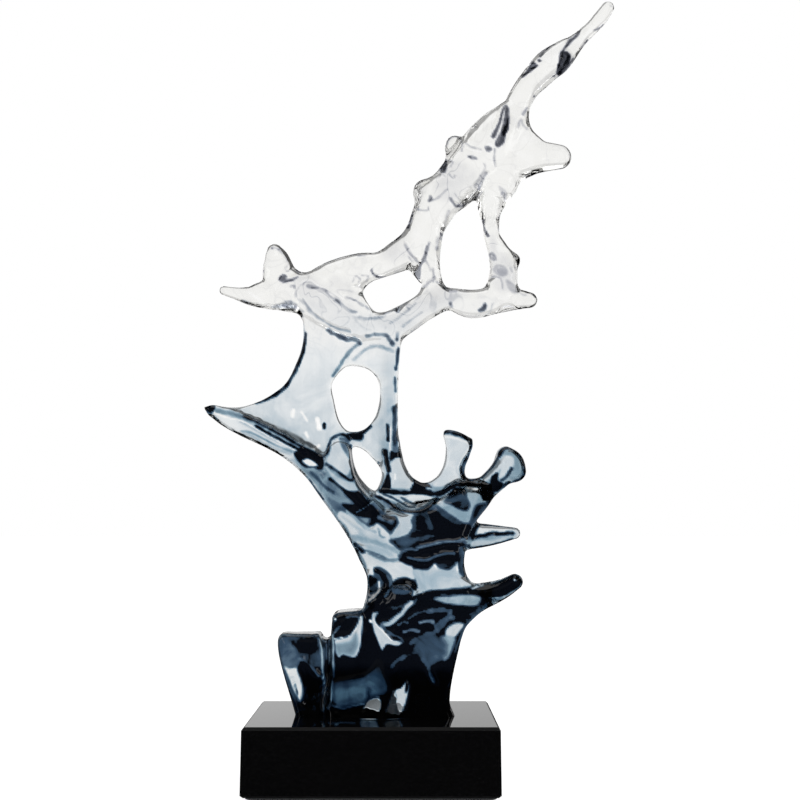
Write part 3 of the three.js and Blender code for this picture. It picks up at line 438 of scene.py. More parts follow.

# The hand-worked surface, with painted light and shade: pools are patches and veins are lines. Dark
# ones are painted shade and pale ones are painted highlights, standing for the dark edges and bright
# glints that clear resin gives where it bends light. Each has its painted tone, in centimetres of resin
# that would look as dark, its height over the surface in millimetres, a pool's soft edge or half a
# vein's width in millimetres, and the close-up that its points (across, down) are in. A later mark lies
# over an earlier one.
marks = {
    # foot, left block
    "leaf_upper": ("pool", 6.2, 1.5, 2, photo, [(282, 646), (283.6, 641), (287, 640), (292.7, 645),
        (296, 649), (299.4, 656), (300, 661), (297, 666.5), (290, 668), (284, 667), (282, 658)]),
    "leaf_lower": ("pool", 0.6, 1.5, 1.2, photo, [(284.4, 667), (290, 668), (297, 667), (297.7, 670.6),
        (301, 679), (302.7, 687), (302, 695.5), (300.6, 701), (297.7, 698), (292.7, 689), (287.8, 676)]),
    "leaf_rim": ("vein", 14, -1.5, 1.4, photo, [(292.7, 643), (300, 650), (302, 660), (300, 668),
        (304, 679), (305, 692), (302, 702)]),
    "block_streak": ("vein", 4.5, 1, 1.6, photo, [(300, 659), (308, 662), (313.5, 669), (318.4, 675.6)]),
    "block_grey": ("pool", 8, 0, 3, photo, [(301, 652), (318, 654), (321, 668), (310, 666), (302, 658)]),
    "left_highlight": ("vein", 0.2, 0.5, 1.2, photo, [(322.5, 633), (328, 632.5)]),
    # foot, strip between the blocks
    "strip_left": ("vein", 2.6, 1, 1.3, photo, [(320, 637.5), (322, 654), (322.6, 670.6), (324.7, 687),
        (323.8, 704), (322, 711)]),
    "strip_right": ("vein", 2.3, 1, 1.3, photo, [(332.5, 635), (333.4, 650), (333.4, 662), (333.8, 675),
        (331.7, 687), (331, 699.6), (328.4, 708)]),
    "strip_blue": ("vein", 2, 0, 0.8, photo, [(330, 649), (330, 662)]),
    # foot, middle block
    "middle_window": ("pool", 0.9, 2, 1, photo, [(334.6, 640), (342.5, 638), (349, 636), (355, 629.5),
        (359, 621.5), (360.5, 616), (362.8, 616), (363, 625), (362, 637.5), (360.7, 647), (357.4, 656),
        (353, 658), (346.6, 656), (342.5, 655), (339, 658), (335.8, 653), (335, 646)]),
    "middle_window_teal": ("pool", 3.2, 0, 3, photo, [(335.5, 645), (343, 643), (351, 641), (356, 634),
        (358, 645), (354, 655), (346.6, 655), (342.5, 654), (339, 656), (336, 652)]),
    "middle_window_edge": ("vein", 0, 0.5, 0.8, photo, [(334.6, 639), (342.5, 637), (349, 635.5),
        (355, 629), (359, 621), (360.3, 616)]),
    "middle_top_streak": ("vein", 5, 1, 0.9, photo, [(346.6, 617.5), (353, 616.5), (359, 617)]),
    "middle_triangle": ("pool", 6, 0, 1, photo, [(333, 635), (336, 628), (342, 624), (339, 630)]),
    "middle_spot": ("vein", 0, 1, 1.2, photo, [(335, 619), (335.5, 619.5)]),
    "steel_window": ("pool", 8, 1.5, 3, photo, [(334, 684), (344, 680), (355, 678), (364, 676), (373, 668),
        (378, 662), (382, 666), (385, 675), (388, 688), (384, 694), (373, 696), (367.5, 699), (363, 703),
        (355, 705), (342.5, 707), (334, 705)]),
    "steel_glow": ("pool", 6.4, 0, 4, photo, [(338, 690), (352, 684), (366, 681), (374, 672), (379, 676),
        (378, 686), (366, 691), (352, 698), (340, 700)]),
    "steel_window_edge": ("vein", 3, 0.5, 0.7, photo, [(331.7, 705), (342.5, 708.5), (355, 705.5),
        (364, 704)]),
    "steel_oval": ("pool", 14, -1, 1, photo, [(366, 693), (368.5, 687), (371.5, 690), (370, 697),
        (367, 698)]),
    "block_spot": ("vein", 0, 1, 1.2, photo, [(336, 714), (336.5, 714.2)]),
    "contact_line": ("vein", 3.4, 0, 0.8, photo, [(328, 714.5), (342.5, 715.8), (355, 716)]),
    # foot, forked fold above the right block
    "fork": ("pool", 1.3, 2.5, 1, photo, [(371.6, 614), (379, 612), (375.5, 619), (377.6, 624),
        (382.6, 628), (387, 633), (391.5, 638.5), (396, 640), (401.5, 641.6), (402, 644), (396.5, 646.6),
        (390.7, 645), (387, 645), (385, 648), (381.6, 650.7), (376.6, 639), (373, 629)]),
    "fork_edge": ("vein", 0.1, 1, 0.7, photo, [(374, 619), (376.6, 625), (382, 630), (387, 635.5),
        (392, 640.5)]),
    "fork_spot": ("vein", 0, 1, 1.5, photo, [(370, 620.5), (370.5, 621.5)]),
    "double_line_upper": ("vein", 2, 1.5, 2.4, photo, [(383, 625.5), (391, 622.5), (399, 616), (405, 609),
        (411, 603)]),
    "double_line_lower": ("vein", 16, -1, 1.4, photo, [(386, 630), (394, 627), (402, 620), (409, 612),
        (416, 606)]),
    "blue_line_one": ("vein", 5.5, 0.6, 1.6, photo, [(382, 626), (391.5, 634), (400.7, 638), (405.6, 643)]),
    "blue_line_two": ("vein", 6, 0.6, 2.2, photo, [(410, 643), (415, 639), (423, 636), (434, 632),
        (442, 626), (450, 615)]),
    "fleck_one": ("vein", 4, 0.5, 1.8, photo, [(420, 622.5), (427, 621), (433, 622)]),
    "fleck_two": ("vein", 4.5, 0.5, 1.7, photo, [(404, 632), (412, 630), (419, 631.5)]),
    "fleck_three": ("vein", 5.5, 0.5, 2.2, photo, [(428, 612), (438, 610), (450, 611)]),
    "fleck_four": ("vein", 6, 0.5, 1.9, photo, [(409, 619), (416, 614), (424, 611)]),
    "fleck_five": ("vein", 6.5, 0, 1.8, photo, [(436, 626), (444, 620), (453, 617)]),
    "fleck_six": ("vein", 6, 0.4, 1.6, photo, [(398, 625), (404, 622), (408, 623)]),
    # foot, right flank
    "flank_patch": ("pool", 1.2, 2, 1.2, photo, [(445, 635), (447, 627.5), (456, 622.5), (464, 624.5),
        (458.7, 633), (454.6, 637.5), (448.7, 638)]),
    "flank_patch_tail": ("pool", 3, 0.5, 1.5, foot_view, [(700, 290), (745, 300), (735, 335), (712, 385),
        (695, 370), (688, 330)]),
    "flank_blue": ("pool", 2.6, 0.5, 2.5, photo, [(444, 640), (455, 638), (453, 648), (448.5, 658),
        (443, 655)]),
    "flank_teal": ("pool", 7.6, 0.5, 5, photo, [(413, 645), (420, 636), (432, 634), (444, 640), (446, 652),
        (438, 664), (428, 668), (418, 660)]),
    "flank_tail": ("vein", 5.5, 1, 2, photo, [(424, 660), (428, 668), (431, 675), (433.5, 680.6)]),
    "flank_band": ("vein", 7.5, 0, 2.6, photo, [(385, 671), (390, 668), (398, 660), (410.6, 653),
        (418, 648)]),
    "flank_edge": ("vein", 9, 0, 0.8, photo, [(462, 634), (456, 648), (452, 661), (447, 679), (446, 695.5),
        (447, 712)]),
    # foot, the leaf shapes low on the right
    "leaf_low_left": ("pool", 1.3, 1, 1, photo, [(360, 719), (364, 706), (370, 699), (379, 696),
        (381, 700), (382, 707), (379, 714), (376, 720)]),
    "leaf_low_right": ("pool", 1.3, 1, 1, photo, [(393, 690), (400.7, 687), (406, 680), (409, 682),
        (407, 700), (401, 716), (396, 720), (384, 718), (387, 706), (391, 695)]),
    # trunk, pale left flank and belly
    "pale_flank": ("pool", 0.9, 1.5, 1.2, stem_view, [(0, 750), (60, 770), (130, 810), (200, 865),
        (240, 885), (300, 850), (340, 875), (375, 905), (410, 940), (420, 975), (410, 1005), (440, 1030),
        (470, 1060), (490, 1090), (480, 1120), (505, 1165), (560, 1195), (600, 1210), (620, 1300),
        (600, 1320), (540, 1300), (480, 1310), (430, 1335), (420, 1290), (380, 1245), (320, 1215),
        (285, 1225), (275, 1285), (225, 1295), (215, 1200), (170, 1110), (110, 1000), (50, 880),
        (-20, 800)]),
    # A soft pool of painted shade.
    "flank_soft_shade": ("pool", 1.9, 0, 6, photo, [(360, 532.4), (382, 540.5), (394, 548.5), (396, 558.5),
        (378, 556.5), (364, 548.5)]),
    "belly_window": ("pool", 1.6, 2, 1.2, stem_view, [(600, 1235), (720, 1235), (780, 1185), (810, 1215),
        (900, 1235), (960, 1190), (990, 1265), (1040, 1305), (1120, 1360), (1000, 1385), (860, 1400),
        (740, 1410), (660, 1440), (595, 1460), (600, 1400), (635, 1370)]),
    "belly_tooth_one": ("vein", 0.1, 0.5, 0.9, stem_view, [(770, 1175), (795, 1215)]),
    "belly_tooth_two": ("vein", 0.1, 0.5, 0.9, stem_view, [(965, 1180), (970, 1240)]),
    "flank_fold_one": ("vein", 5, -1.2, 0.8, stem_view, [(210, 1075), (270, 1095), (340, 1120), (400, 1150),
        (470, 1155)]),
    "flank_fold_two": ("vein", 1.6, -1.2, 1.2, stem_view, [(80, 980), (190, 1010), (300, 1040), (400, 1060),
        (470, 1070)]),
    "flank_fold_three": ("vein", 1.4, -1, 1.2, stem_view, [(20, 800), (110, 870), (220, 930), (340, 970)]),
    "flank_fold_four": ("vein", 2.6, 0.8, 2.2, flank_view, [(180, 370), (300, 400), (430, 430), (560, 480),
        (640, 520)]),
    "flank_fold_five": ("vein", 3.6, -1, 1.4, flank_view, [(340, 530), (440, 575), (540, 600),
        (640, 590)]),
    "flank_streak": ("vein", 2, 0.5, 1.6, flank_view, [(120, 110), (220, 200), (330, 290), (400, 320)]),
    "shoulder_dark": ("pool", 14, 0, 1.5, flank_view, [(380, 90), (500, 120), (615, 190), (600, 270),
        (550, 308), (500, 262), (420, 222), (372, 250), (322, 228), (330, 150)]),
    "shoulder_blue": ("vein", 6.5, 0.5, 1.6, flank_view, [(440, 175), (500, 195), (565, 222)]),
    "flank_notch": ("pool", 12, 0, 1, stem_view, [(120, 1010), (160, 1040), (205, 1080), (190, 1100),
        (165, 1085)]),
    "flank_shade": ("pool", 3.5, -1, 2, stem_view, [(150, 800), (200, 760), (240, 790), (240, 850),
        (200, 850)]),
    "flank_orange": ("vein", 4, -0.5, 0.6, stem_view, [(320, 900), (330, 950), (365, 970)]),
    # trunk, hook, eye and peg
    "eye": ("pool", 14, -1.5, 1, stem_view, [(240, 1285), (290, 1300), (305, 1330), (275, 1360),
        (245, 1375)]),
    "hook_dark": ("vein", 16, 2, 2.2, stem_view, [(300, 1245), (345, 1275), (378, 1330), (375, 1390),
        (335, 1445), (285, 1490), (240, 1515)]),
    "hook_shine": ("vein", 5, 1, 1.5, stem_view, [(395, 1290), (418, 1340), (410, 1400), (370, 1460)]),
    "hook_white": ("vein", 0.2, 0.5, 1.8, stem_view, [(325, 1340), (325, 1400), (285, 1450), (245, 1485)]),
    "peg_body": ("pool", 13, 2, 1.5, stem_view, [(420, 1370), (480, 1350), (560, 1375), (600, 1410),
        (570, 1480), (480, 1560), (380, 1560), (330, 1530), (400, 1450)]),
    "peg_blue": ("pool", 7, 0, 2, stem_view, [(425, 1375), (480, 1365), (560, 1390), (580, 1415),
        (540, 1440), (440, 1430)]),
    "peg_cap": ("pool", 18, 1.5, 0.8, stem_view, [(435, 1350), (500, 1318), (560, 1325), (620, 1350),
        (632, 1385), (600, 1400), (545, 1365), (480, 1350)]),
    "peg_line": ("vein", 1, 0, 0.5, stem_view, [(540, 1355), (575, 1375), (600, 1405)]),
    # trunk, pale windows in the dark body
    "window_patch": ("pool", 1.7, 2, 1, stem_view, [(380, 730), (440, 750), (500, 770), (560, 770),
        (610, 778), (588, 830), (600, 880), (570, 940), (520, 960), (440, 985), (410, 965), (450, 900),
        (482, 850), (460, 795), (400, 792), (370, 770)]),
    "facet": ("pool", 2.3, 2.5, 1, stem_view, [(800, 690), (860, 640), (920, 580), (980, 540), (1060, 540),
        (1150, 545), (1230, 540), (1262, 590), (1230, 650), (1180, 690), (1130, 700), (1100, 760),
        (1060, 850), (1000, 840), (940, 800), (880, 760)]),
    "facet_dark": ("pool", 11, -2, 1, stem_view, [(860, 680), (890, 630), (930, 570), (990, 560),
        (1030, 572), (1050, 640), (1070, 700), (1045, 745), (980, 735), (920, 700)]),
    "facet_white": ("vein", 0.2, 0.5, 0.9, stem_view, [(1060, 560), (1130, 575), (1200, 560), (1230, 545)]),
    "facet_rim": ("vein", 0, 0.5, 0.7, stem_view, [(800, 690), (860, 632), (920, 575)]),
    "body_dark": ("pool", 14, 0, 3, stem_view, [(640, 760), (760, 740), (900, 850), (1000, 880),
        (1080, 870), (1090, 960), (1000, 975), (850, 985), (720, 1010), (600, 1020), (560, 970),
        (620, 900)]),
    # trunk, folded ridges across the body
    "fold_one": ("vein", 3.4, 2, 1.1, stem_view, [(640, 1055), (720, 1035), (850, 1005), (950, 1002),
        (1020, 985), (1080, 1015)]),
    "fold_one_shade": ("vein", 18, -1.5, 1.6, stem_view, [(640, 1085), (740, 1065), (860, 1040),
        (960, 1030), (1060, 1040)]),
    "fold_two": ("vein", 4.5, 1.5, 1.0, stem_view, [(500, 1095), (560, 1065), (640, 1075)]),
    "fold_three": ("vein", 4.2, 2, 0.9, stem_view, [(560, 1135), (640, 1152), (720, 1152), (790, 1122),
        (880, 1102), (940, 1102)]),
    "fold_three_shade": ("vein", 18, -1.5, 1.4, stem_view, [(500, 1155), (580, 1165), (650, 1190),
        (730, 1185), (800, 1155), (900, 1150)]),
    "fold_blue": ("vein", 8.5, 0, 2, stem_view, [(480, 1015), (560, 1010), (640, 990), (760, 960)]),
    # crown, dark lip and the folds below it
    "lip": ("vein", 22, 2, 1.7, stem_view, [(335, 585), (420, 592), (520, 605), (600, 600), (700, 607),
        (800, 607), (870, 585), (960, 535), (1050, 522), (1150, 532), (1240, 545)]),
    "lip_band": ("pool", 1, -1, 1, stem_view, [(300, 603), (400, 612), (500, 622), (600, 612), (700, 618),
        (765, 640), (705, 698), (640, 730), (565, 735), (500, 700), (430, 665), (340, 645)]),
    "lip_fold_one": ("vein", 12, -1, 0.7, stem_view, [(360, 610), (430, 640), (500, 680), (560, 718),
        (620, 722)]),
    "lip_fold_two": ("vein", 8, -1, 0.9, stem_view, [(505, 640), (560, 670), (620, 705)]),
    "lip_line": ("vein", 20, 1.5, 1.0, stem_view, [(290, 625), (380, 665), (460, 722), (540, 752),
        (650, 752), (740, 712), (800, 645)]),
    # crown, left part and the foot of the rod
    "left_patch": ("pool", 1.1, 1.5, 0.8, stem_view, [(430, 345), (490, 315), (525, 345), (560, 410),
        (612, 480), (590, 560), (500, 570), (420, 558), (415, 480), (400, 425)]),
    "left_patch_spark": ("vein", 0, 0.5, 0.7, stem_view, [(455, 445), (455, 485)]),
    "left_dark": ("pool", 20, 0, 0.8, stem_view, [(400, 440), (412, 560), (340, 588), (370, 500)]),
    "right_dark": ("pool", 20, 1, 0.8, stem_view, [(612, 475), (690, 505), (745, 545), (745, 600),
        (590, 592), (612, 520)]),
    "rod_foot": ("pool", 20, 1, 0.8, stem_view, [(410, 275), (440, 262), (500, 270), (515, 308), (460, 303),
        (408, 338)]),
    "rod_left_one": ("vein", 16, 1, 1.2, stem_view, [(392, 40), (398, 110), (400, 170)]),
    "rod_left_two": ("vein", 20, 1, 1.6, stem_view, [(372, 262), (385, 330), (400, 420)]),
    "rod_right": ("vein", 11, 1, 1.9, stem_view, [(455, -100), (455, 0), (450, 100), (455, 185)]),
    "rod_grey": ("vein", 4, 0, 2.3, stem_view, [(458, 190), (462, 255)]),
    "rod_white": ("vein", 0, -0.5, 0.8, stem_view, [(418, 60), (412, 200), (408, 330)]),
    # crown, pale fill of the flag
    "flag_pale": ("pool", 1, 0, 1.5, stem_view, [(850, 130), (900, 120), (1000, 150), (1060, 200),
        (1040, 280), (990, 350), (960, 420), (985, 480), (900, 540), (800, 555), (770, 530), (820, 470),
        (850, 350), (850, 200)]),
    # crown, the flag and the knob
    "flag_top": ("vein", 16, 2, 2.1, stem_view, [(856, 92), (900, 97), (980, 115), (1050, 140),
        (1088, 160)]),
    "flag_side": ("vein", 10, 2, 1.8, stem_view, [(1088, 160), (1092, 220), (1070, 290), (1030, 345),
        (1012, 400), (1020, 450)]),
    "flag_line": ("vein", 0.2, -0.5, 0.7, stem_view, [(858, 135), (930, 145), (1010, 170), (1065, 200),
        (1050, 260), (1000, 340), (978, 400), (1000, 460)]),
    "flag_root": ("vein", 2.6, 1, 1.6, stem_view, [(720, 565), (800, 570), (870, 550), (980, 505)]),
    "knob_rim": ("vein", 16, 2, 1.4, stem_view, [(1310, 290), (1350, 242), (1390, 228), (1450, 250),
        (1500, 310), (1528, 400), (1528, 450), (1500, 488), (1430, 520), (1350, 550), (1290, 580)]),
    "knob_grey": ("pool", 3, 1, 1.5, stem_view, [(1340, 270), (1390, 240), (1450, 260), (1500, 330),
        (1520, 420), (1480, 470), (1400, 480), (1440, 380), (1430, 300), (1380, 285)]),
    "knob_pale": ("pool", 1.1, 1, 1, stem_view, [(1180, 500), (1290, 400), (1350, 300), (1430, 310),
        (1430, 380), (1380, 440), (1300, 490), (1330, 400), (1250, 480)]),
    "knob_root": ("pool", 20, 0, 1, stem_view, [(1250, 480), (1300, 440), (1300, 500), (1345, 530),
        (1290, 580), (1250, 560)]),
    "knob_streak": ("vein", 14, -1, 1, stem_view, [(1330, 500), (1380, 460), (1420, 400)]),
    "neck_top": ("vein", 14, 1, 1.1, stem_view, [(1020, 470), (1080, 495), (1160, 470), (1240, 400),
        (1310, 300)]),
    # trunk, right edge
    "edge_blue": ("pool", 10.5, 0, 2, stem_view, [(1120, 710), (1220, 690), (1205, 770), (1110, 850),
        (1085, 840)]),
    "corner_dark": ("pool", 20, 0, 1, stem_view, [(1165, 600), (1180, 560), (1230, 535), (1275, 560),
        (1262, 610), (1215, 660), (1180, 650)]),
    "edge_dark": ("vein", 20, 1, 1.4, stem_view, [(1245, 660), (1225, 740), (1170, 820), (1110, 910),
        (1095, 970)]),
    # horn
    "horn_top": ("pool", 0.7, 0, 1, stem_view, [(1130, 940), (1160, 870), (1250, 865), (1420, 900),
        (1440, 930), (1330, 925), (1250, 920), (1180, 940)]),
    "horn_line": ("vein", 16, -2, 1.3, stem_view, [(1100, 965), (1180, 955), (1250, 935), (1330, 940),
        (1425, 932)]),
    "horn_low": ("pool", 1.8, 0.5, 1, stem_view, [(1095, 1000), (1180, 985), (1260, 1000), (1350, 970),
        (1420, 965), (1350, 995), (1200, 1030), (1090, 1040)]),
    "horn_edge": ("vein", 14, 0, 0.9, stem_view, [(1085, 1060), (1200, 1045), (1330, 1010), (1425, 985)]),
    # ledge
    "ledge_dark": ("pool", 22, 1.5, 1, stem_view, [(1000, 1405), (1100, 1388), (1200, 1372), (1330, 1325),
        (1440, 1278), (1490, 1320), (1478, 1370), (1400, 1420), (1330, 1455), (1250, 1458), (1120, 1438),
        (1040, 1420)]),
    "ledge_white": ("vein", 0.2, 0.5, 0.9, stem_view, [(1090, 1395), (1180, 1362), (1300, 1318),
        (1400, 1280)]),
    "ledge_lip": ("vein", 20, 1.5, 1.3, stem_view, [(590, 1472), (660, 1450), (760, 1428), (860, 1416),
        (960, 1412), (1040, 1418)]),
    "ledge_band": ("pool", 2.3, 1, 1, stem_view, [(780, 1465), (900, 1452), (1060, 1442), (1165, 1466),
        (1125, 1530), (1000, 1530), (900, 1520), (790, 1492)]),
    "ledge_low_line": ("vein", 0.5, 0, 0.6, stem_view, [(1220, 1472), (1290, 1465), (1360, 1452)]),
    "ledge_spot": ("vein", 0, 0.8, 1.5, stem_view, [(1442, 1322), (1446, 1326)]),
    # spike
    "spike_tip": ("pool", 13, 1, 1, spike_view, [(60, 105), (100, 82), (165, 95), (135, 150), (100, 142)]),
    "blade_pale": ("pool", 0.6, 0, 1.5, photo, [(213, 412), (230, 417), (254, 430), (274, 441), (290, 450),
        (297, 459), (282, 456), (260, 446), (240, 435), (224, 425)]),
    "spike_ridge": ("vein", 3.4, 2, 1.9, spike_view, [(180, 130), (330, 160), (450, 205), (560, 255),
        (680, 315), (780, 375), (870, 435)]),
    "ridge_dark_upper": ("vein", 16, 0.5, 1.1, spike_view, [(400, 175), (450, 192), (540, 238), (640, 290),
        (760, 355), (900, 438), (1040, 500)]),
    "ridge_dark_lower": ("vein", 18, -1.5, 1.2, spike_view, [(500, 255), (620, 325), (740, 390), (850, 445),
        (910, 480)]),
    "ridge_white": ("vein", 0, -0.5, 0.8, spike_view, [(150, 145), (260, 185), (380, 212), (480, 262),
        (600, 332), (740, 408), (840, 462)]),
    "blade_line": ("vein", 3, -1.2, 0.9, spike_view, [(380, 298), (460, 310), (560, 360), (680, 420),
        (800, 470)]),
    "blade_blue": ("vein", 1.6, -0.5, 1.2, spike_view, [(392, 318), (480, 345), (600, 415), (700, 455),
        (790, 490)]),
    "root_dark": ("pool", 16, 0.5, 1, spike_view, [(840, 465), (900, 432), (1040, 510), (1062, 560),
        (1040, 620), (980, 600), (900, 592), (850, 540), (820, 490)]),
    "root_white": ("pool", 0.3, 1, 1, spike_view, [(880, 545), (930, 522), (1000, 560), (1012, 590),
        (940, 590)]),
    # stem below the spike
    "stem_blue": ("pool", 3.8, 1, 2, spike_view, [(820, 505), (870, 590), (980, 620), (1060, 620),
        (1110, 700), (1250, 830), (1290, 900), (1200, 910), (1080, 810), (960, 690), (870, 600)]),
    "stem_line_one": ("vein", 16, -1.5, 1.4, spike_view, [(1115, 695), (1180, 745), (1250, 800),
        (1340, 880), (1400, 930)]),
    "stem_line_two": ("vein", 10, -1, 1.1, spike_view, [(960, 640), (1010, 690), (1080, 760), (1140, 800)]),
    "stem_dark": ("pool", 18, 0, 1.2, spike_view, [(1230, 800), (1340, 790), (1420, 870), (1500, 960),
        (1440, 1010), (1330, 990), (1240, 930), (1220, 900), (1320, 900)]),
    "stem_streak": ("vein", 0.8, -0.5, 0.6, spike_view, [(1330, 970), (1400, 930), (1470, 875)]),
    # thumb
    "v_band": ("pool", 1.6, 1, 1, spike_view, [(1080, 582), (1140, 645), (1240, 705), (1310, 722),
        (1345, 790), (1300, 800), (1240, 780), (1160, 712), (1090, 622)]),
    "thumb_pale": ("pool", 1.1, 1.5, 0.8, spike_view, [(1110, 480), (1130, 405), (1180, 372), (1210, 430),
        (1240, 480), (1282, 560), (1270, 650), (1230, 658), (1160, 600), (1090, 548)]),
    "thumb_blue": ("pool", 5, 0.5, 1, spike_view, [(1190, 350), (1260, 362), (1280, 430), (1282, 520),
        (1240, 470), (1205, 405)]),
    "thumb_rim": ("vein", 14, 1.5, 1.0, spike_view, [(1050, 520), (1095, 470), (1108, 405), (1135, 355),
        (1190, 328), (1240, 332), (1278, 365)]),
    "thumb_v": ("vein", 15, -1.5, 1.0, spike_view, [(1085, 572), (1160, 622), (1230, 672), (1282, 702),
        (1310, 680), (1302, 600), (1290, 500), (1282, 420)]),
    # membrane
    "pit": ("vein", 18, -2.5, 1.6, spike_view, [(1065, 240), (1068, 272)]),
    "spark_one": ("vein", 0, 1.2, 1.8, spike_view, [(815, 125), (805, 175)]),
    "spark_two": ("vein", 0, 1.2, 0.9, spike_view, [(880, 140), (925, 215)]),
    "spark_three": ("vein", 0, 1.2, 2.2, spike_view, [(1010, 205), (1030, 275)]),
    "spark_four": ("vein", 0, 1, 1.5, spike_view, [(915, 315), (930, 350)]),
    "spark_five": ("vein", 0, 1, 1.3, spike_view, [(990, 440), (1025, 418)]),
    "oval_foot": ("vein", 16, 0.5, 1.2, spike_view, [(1260, 330), (1330, 320), (1400, 300), (1450, 258)]),
    "oval_notch": ("pool", 14, 0, 1, spike_view, [(1280, 345), (1320, 325), (1385, 322), (1370, 372),
        (1290, 362)]),
    "membrane_rim": ("vein", 14, 0.5, 1.5, photo, [(304.5, 334), (304, 346), (300.5, 359), (294.5, 371),
        (285.5, 386.5), (269, 397.8), (256, 402.5)]),
    "membrane_fold_one": ("vein", 6, -1.2, 1.6, horn_view, [(420, 90), (480, 120), (540, 158), (640, 172),
        (695, 205)]),
    "membrane_fold_two": ("vein", 4, 1.5, 1.6, horn_view, [(690, 200), (620, 262), (560, 335), (520, 405),
        (465, 485)]),
    "membrane_fold_three": ("vein", 5, 1, 1.5, horn_view, [(775, 135), (860, 128), (930, 142), (980, 205)]),
    "membrane_crescent": ("vein", 1.8, 1, 1.6, horn_view, [(640, 345), (740, 262), (830, 225), (900, 242),
        (980, 270)]),
    # rod
    "rod_bead_one": ("vein", 8, 1, 1.2, horn_view, [(1022, 85), (1020, 172)]),
    "rod_bead_two": ("vein", 10, 1, 1.2, horn_view, [(1032, 250), (1025, 340), (1010, 430)]),
    "rod_bead_three": ("vein", 8, 1, 1.1, horn_view, [(1002, 500), (1010, 620)]),
    "rod_dark": ("vein", 10, 1, 1.8, horn_view, [(1004, 760), (1002, 900), (1000, 1080)]),
    # painted soft shade in the clear half
    "waist_soft_shade": ("pool", 0.5, 0, 6, photo, [(388, 190), (402, 180), (416, 175), (425, 190), (412, 215),
        (408, 240), (405, 258), (392, 262), (380, 248), (384, 225), (386, 205)]),
    "beam_soft_shade": ("pool", 0.55, 0, 6, photo, [(300, 272), (325, 285), (345, 300), (365, 316), (395, 315),
        (420, 297), (440, 285), (470, 292), (450, 305), (425, 316), (400, 335), (360, 336), (320, 315),
        (298, 296)]),
    "saddle_soft_shade": ("pool", 0.4, 0, 4, photo, [(335, 275), (350, 280), (352, 296), (340, 292), (328, 284)]),
    "egg_right_soft_shade": ("pool", 0.5, 0, 4, photo, [(492, 235), (500, 250), (512, 262), (520, 280),
        (505, 292), (492, 285), (488, 262)]),
    "lobe_soft_shade": ("pool", 0.45, 0, 5, photo, [(440, 170), (455, 160), (470, 165), (478, 180), (465, 192),
        (450, 200), (435, 195)]),
    # fishtail
    "tail_top": ("vein", 2.6, 0.5, 0.9, beam_view, [(470, 68), (510, 68), (550, 97)]),
    "tail_right": ("vein", 2.0, 0.8, 0.8, beam_view, [(545, 97), (590, 150), (603, 200), (580, 235)]),
    "tail_white": ("vein", 0, -0.8, 1.4, beam_view, [(590, 112), (640, 180), (620, 240)]),
    "tail_left": ("vein", 3.4, 0, 0.7, beam_view, [(397, 255), (372, 300), (332, 348)]),
    "tail_low": ("vein", 2.6, 0, 0.8, beam_view, [(225, 500), (290, 525)]),
    "tail_band": ("vein", 0, -1, 1.1, beam_view, [(280, 430), (350, 480), (440, 545)]),
    "tail_knot": ("pool", 4, -1.5, 0.8, beam_view, [(530, 312), (570, 285), (592, 300), (585, 325),
        (640, 318), (690, 300), (640, 335), (570, 350), (532, 335)]),
    "knot_line": ("vein", 2.6, -0.5, 0.6, beam_view, [(592, 258), (630, 245), (655, 235)]),
    "knot_bead": ("pool", 3.2, -1, 0.6, beam_view, [(670, 242), (700, 235), (718, 255), (700, 270),
        (680, 280)]),
    "knot_foot": ("vein", 3.2, -0.8, 0.9, beam_view, [(625, 382), (652, 378), (656, 396)]),
    "tail_root": ("pool", 2.2, 0.5, 1.2, beam_view, [(460, 552), (520, 532), (600, 502), (650, 512),
        (680, 540), (640, 568), (560, 560), (500, 565)]),
    "root_spark": ("vein", 0, 0.5, 0.8, beam_view, [(598, 540), (602, 543)]),
    "root_bead_one": ("vein", 3, -0.5, 0.8, beam_view, [(695, 578), (728, 590)]),
    "root_bead_two": ("vein", 3.4, -0.5, 0.8, beam_view, [(695, 627), (722, 630)]),
    # beam and saddle, left half
    "membrane_corner": ("vein", 1.9, 0, 1.2, beam_view, [(722, 700), (732, 780), (705, 890)]),
    "beam_loop": ("vein", 1.9, 1.5, 1.0, beam_view, [(668, 470), (670, 430), (700, 382), (740, 352),
        (790, 352), (850, 390), (900, 412), (958, 470)]),
    "loop_knot": ("pool", 2.8, -1, 0.7, beam_view, [(755, 370), (790, 368), (870, 395), (790, 402),
        (760, 392)]),
    "beam_fold_one": ("vein", 2.2, -1.2, 1.3, beam_view, [(692, 490), (750, 530), (782, 590), (850, 640)]),
    "beam_fold_two": ("vein", 2.6, -1.5, 1.0, beam_view, [(880, 655), (950, 700), (1030, 735),
        (1110, 752)]),
    "beam_fold_three": ("vein", 2.6, -1.5, 0.9, beam_view, [(990, 500), (1050, 550), (1110, 590),
        (1170, 595)]),
    "beam_fold_four": ("vein", 2.3, -1.2, 0.9, beam_view, [(1090, 475), (1160, 500), (1230, 540),
        (1270, 570)]),
    "beam_under_left": ("vein", 5.5, -2, 1.6, beam_view, [(960, 770), (1030, 792), (1080, 820), (1160, 815),
        (1200, 855)]),
    "beam_under_right": ("vein", 5.5, -2, 1.7, beam_view, [(1255, 795), (1330, 777), (1420, 790),
        (1460, 855)]),
    "bean_left": ("vein", 2.3, 0, 0.9, beam_view, [(1245, 470), (1232, 420), (1265, 370), (1300, 342)]),
    "leaf_fold": ("vein", 2.8, -1.8, 1.0, beam_view, [(1297, 240), (1302, 280), (1350, 303), (1420, 308),
        (1500, 285), (1560, 262)]),
    "leaf_white": ("vein", 0, 0.8, 0.9, beam_view, [(1330, 270), (1370, 290), (1430, 290)]),
    "saddle_speck_one": ("vein", 2.4, -0.8, 0.6, beam_view, [(1135, 345), (1160, 302), (1198, 322),
        (1182, 352)]),
    "saddle_speck_two": ("vein", 2.4, -0.8, 0.7, beam_view, [(1212, 292), (1262, 300), (1250, 335)]),
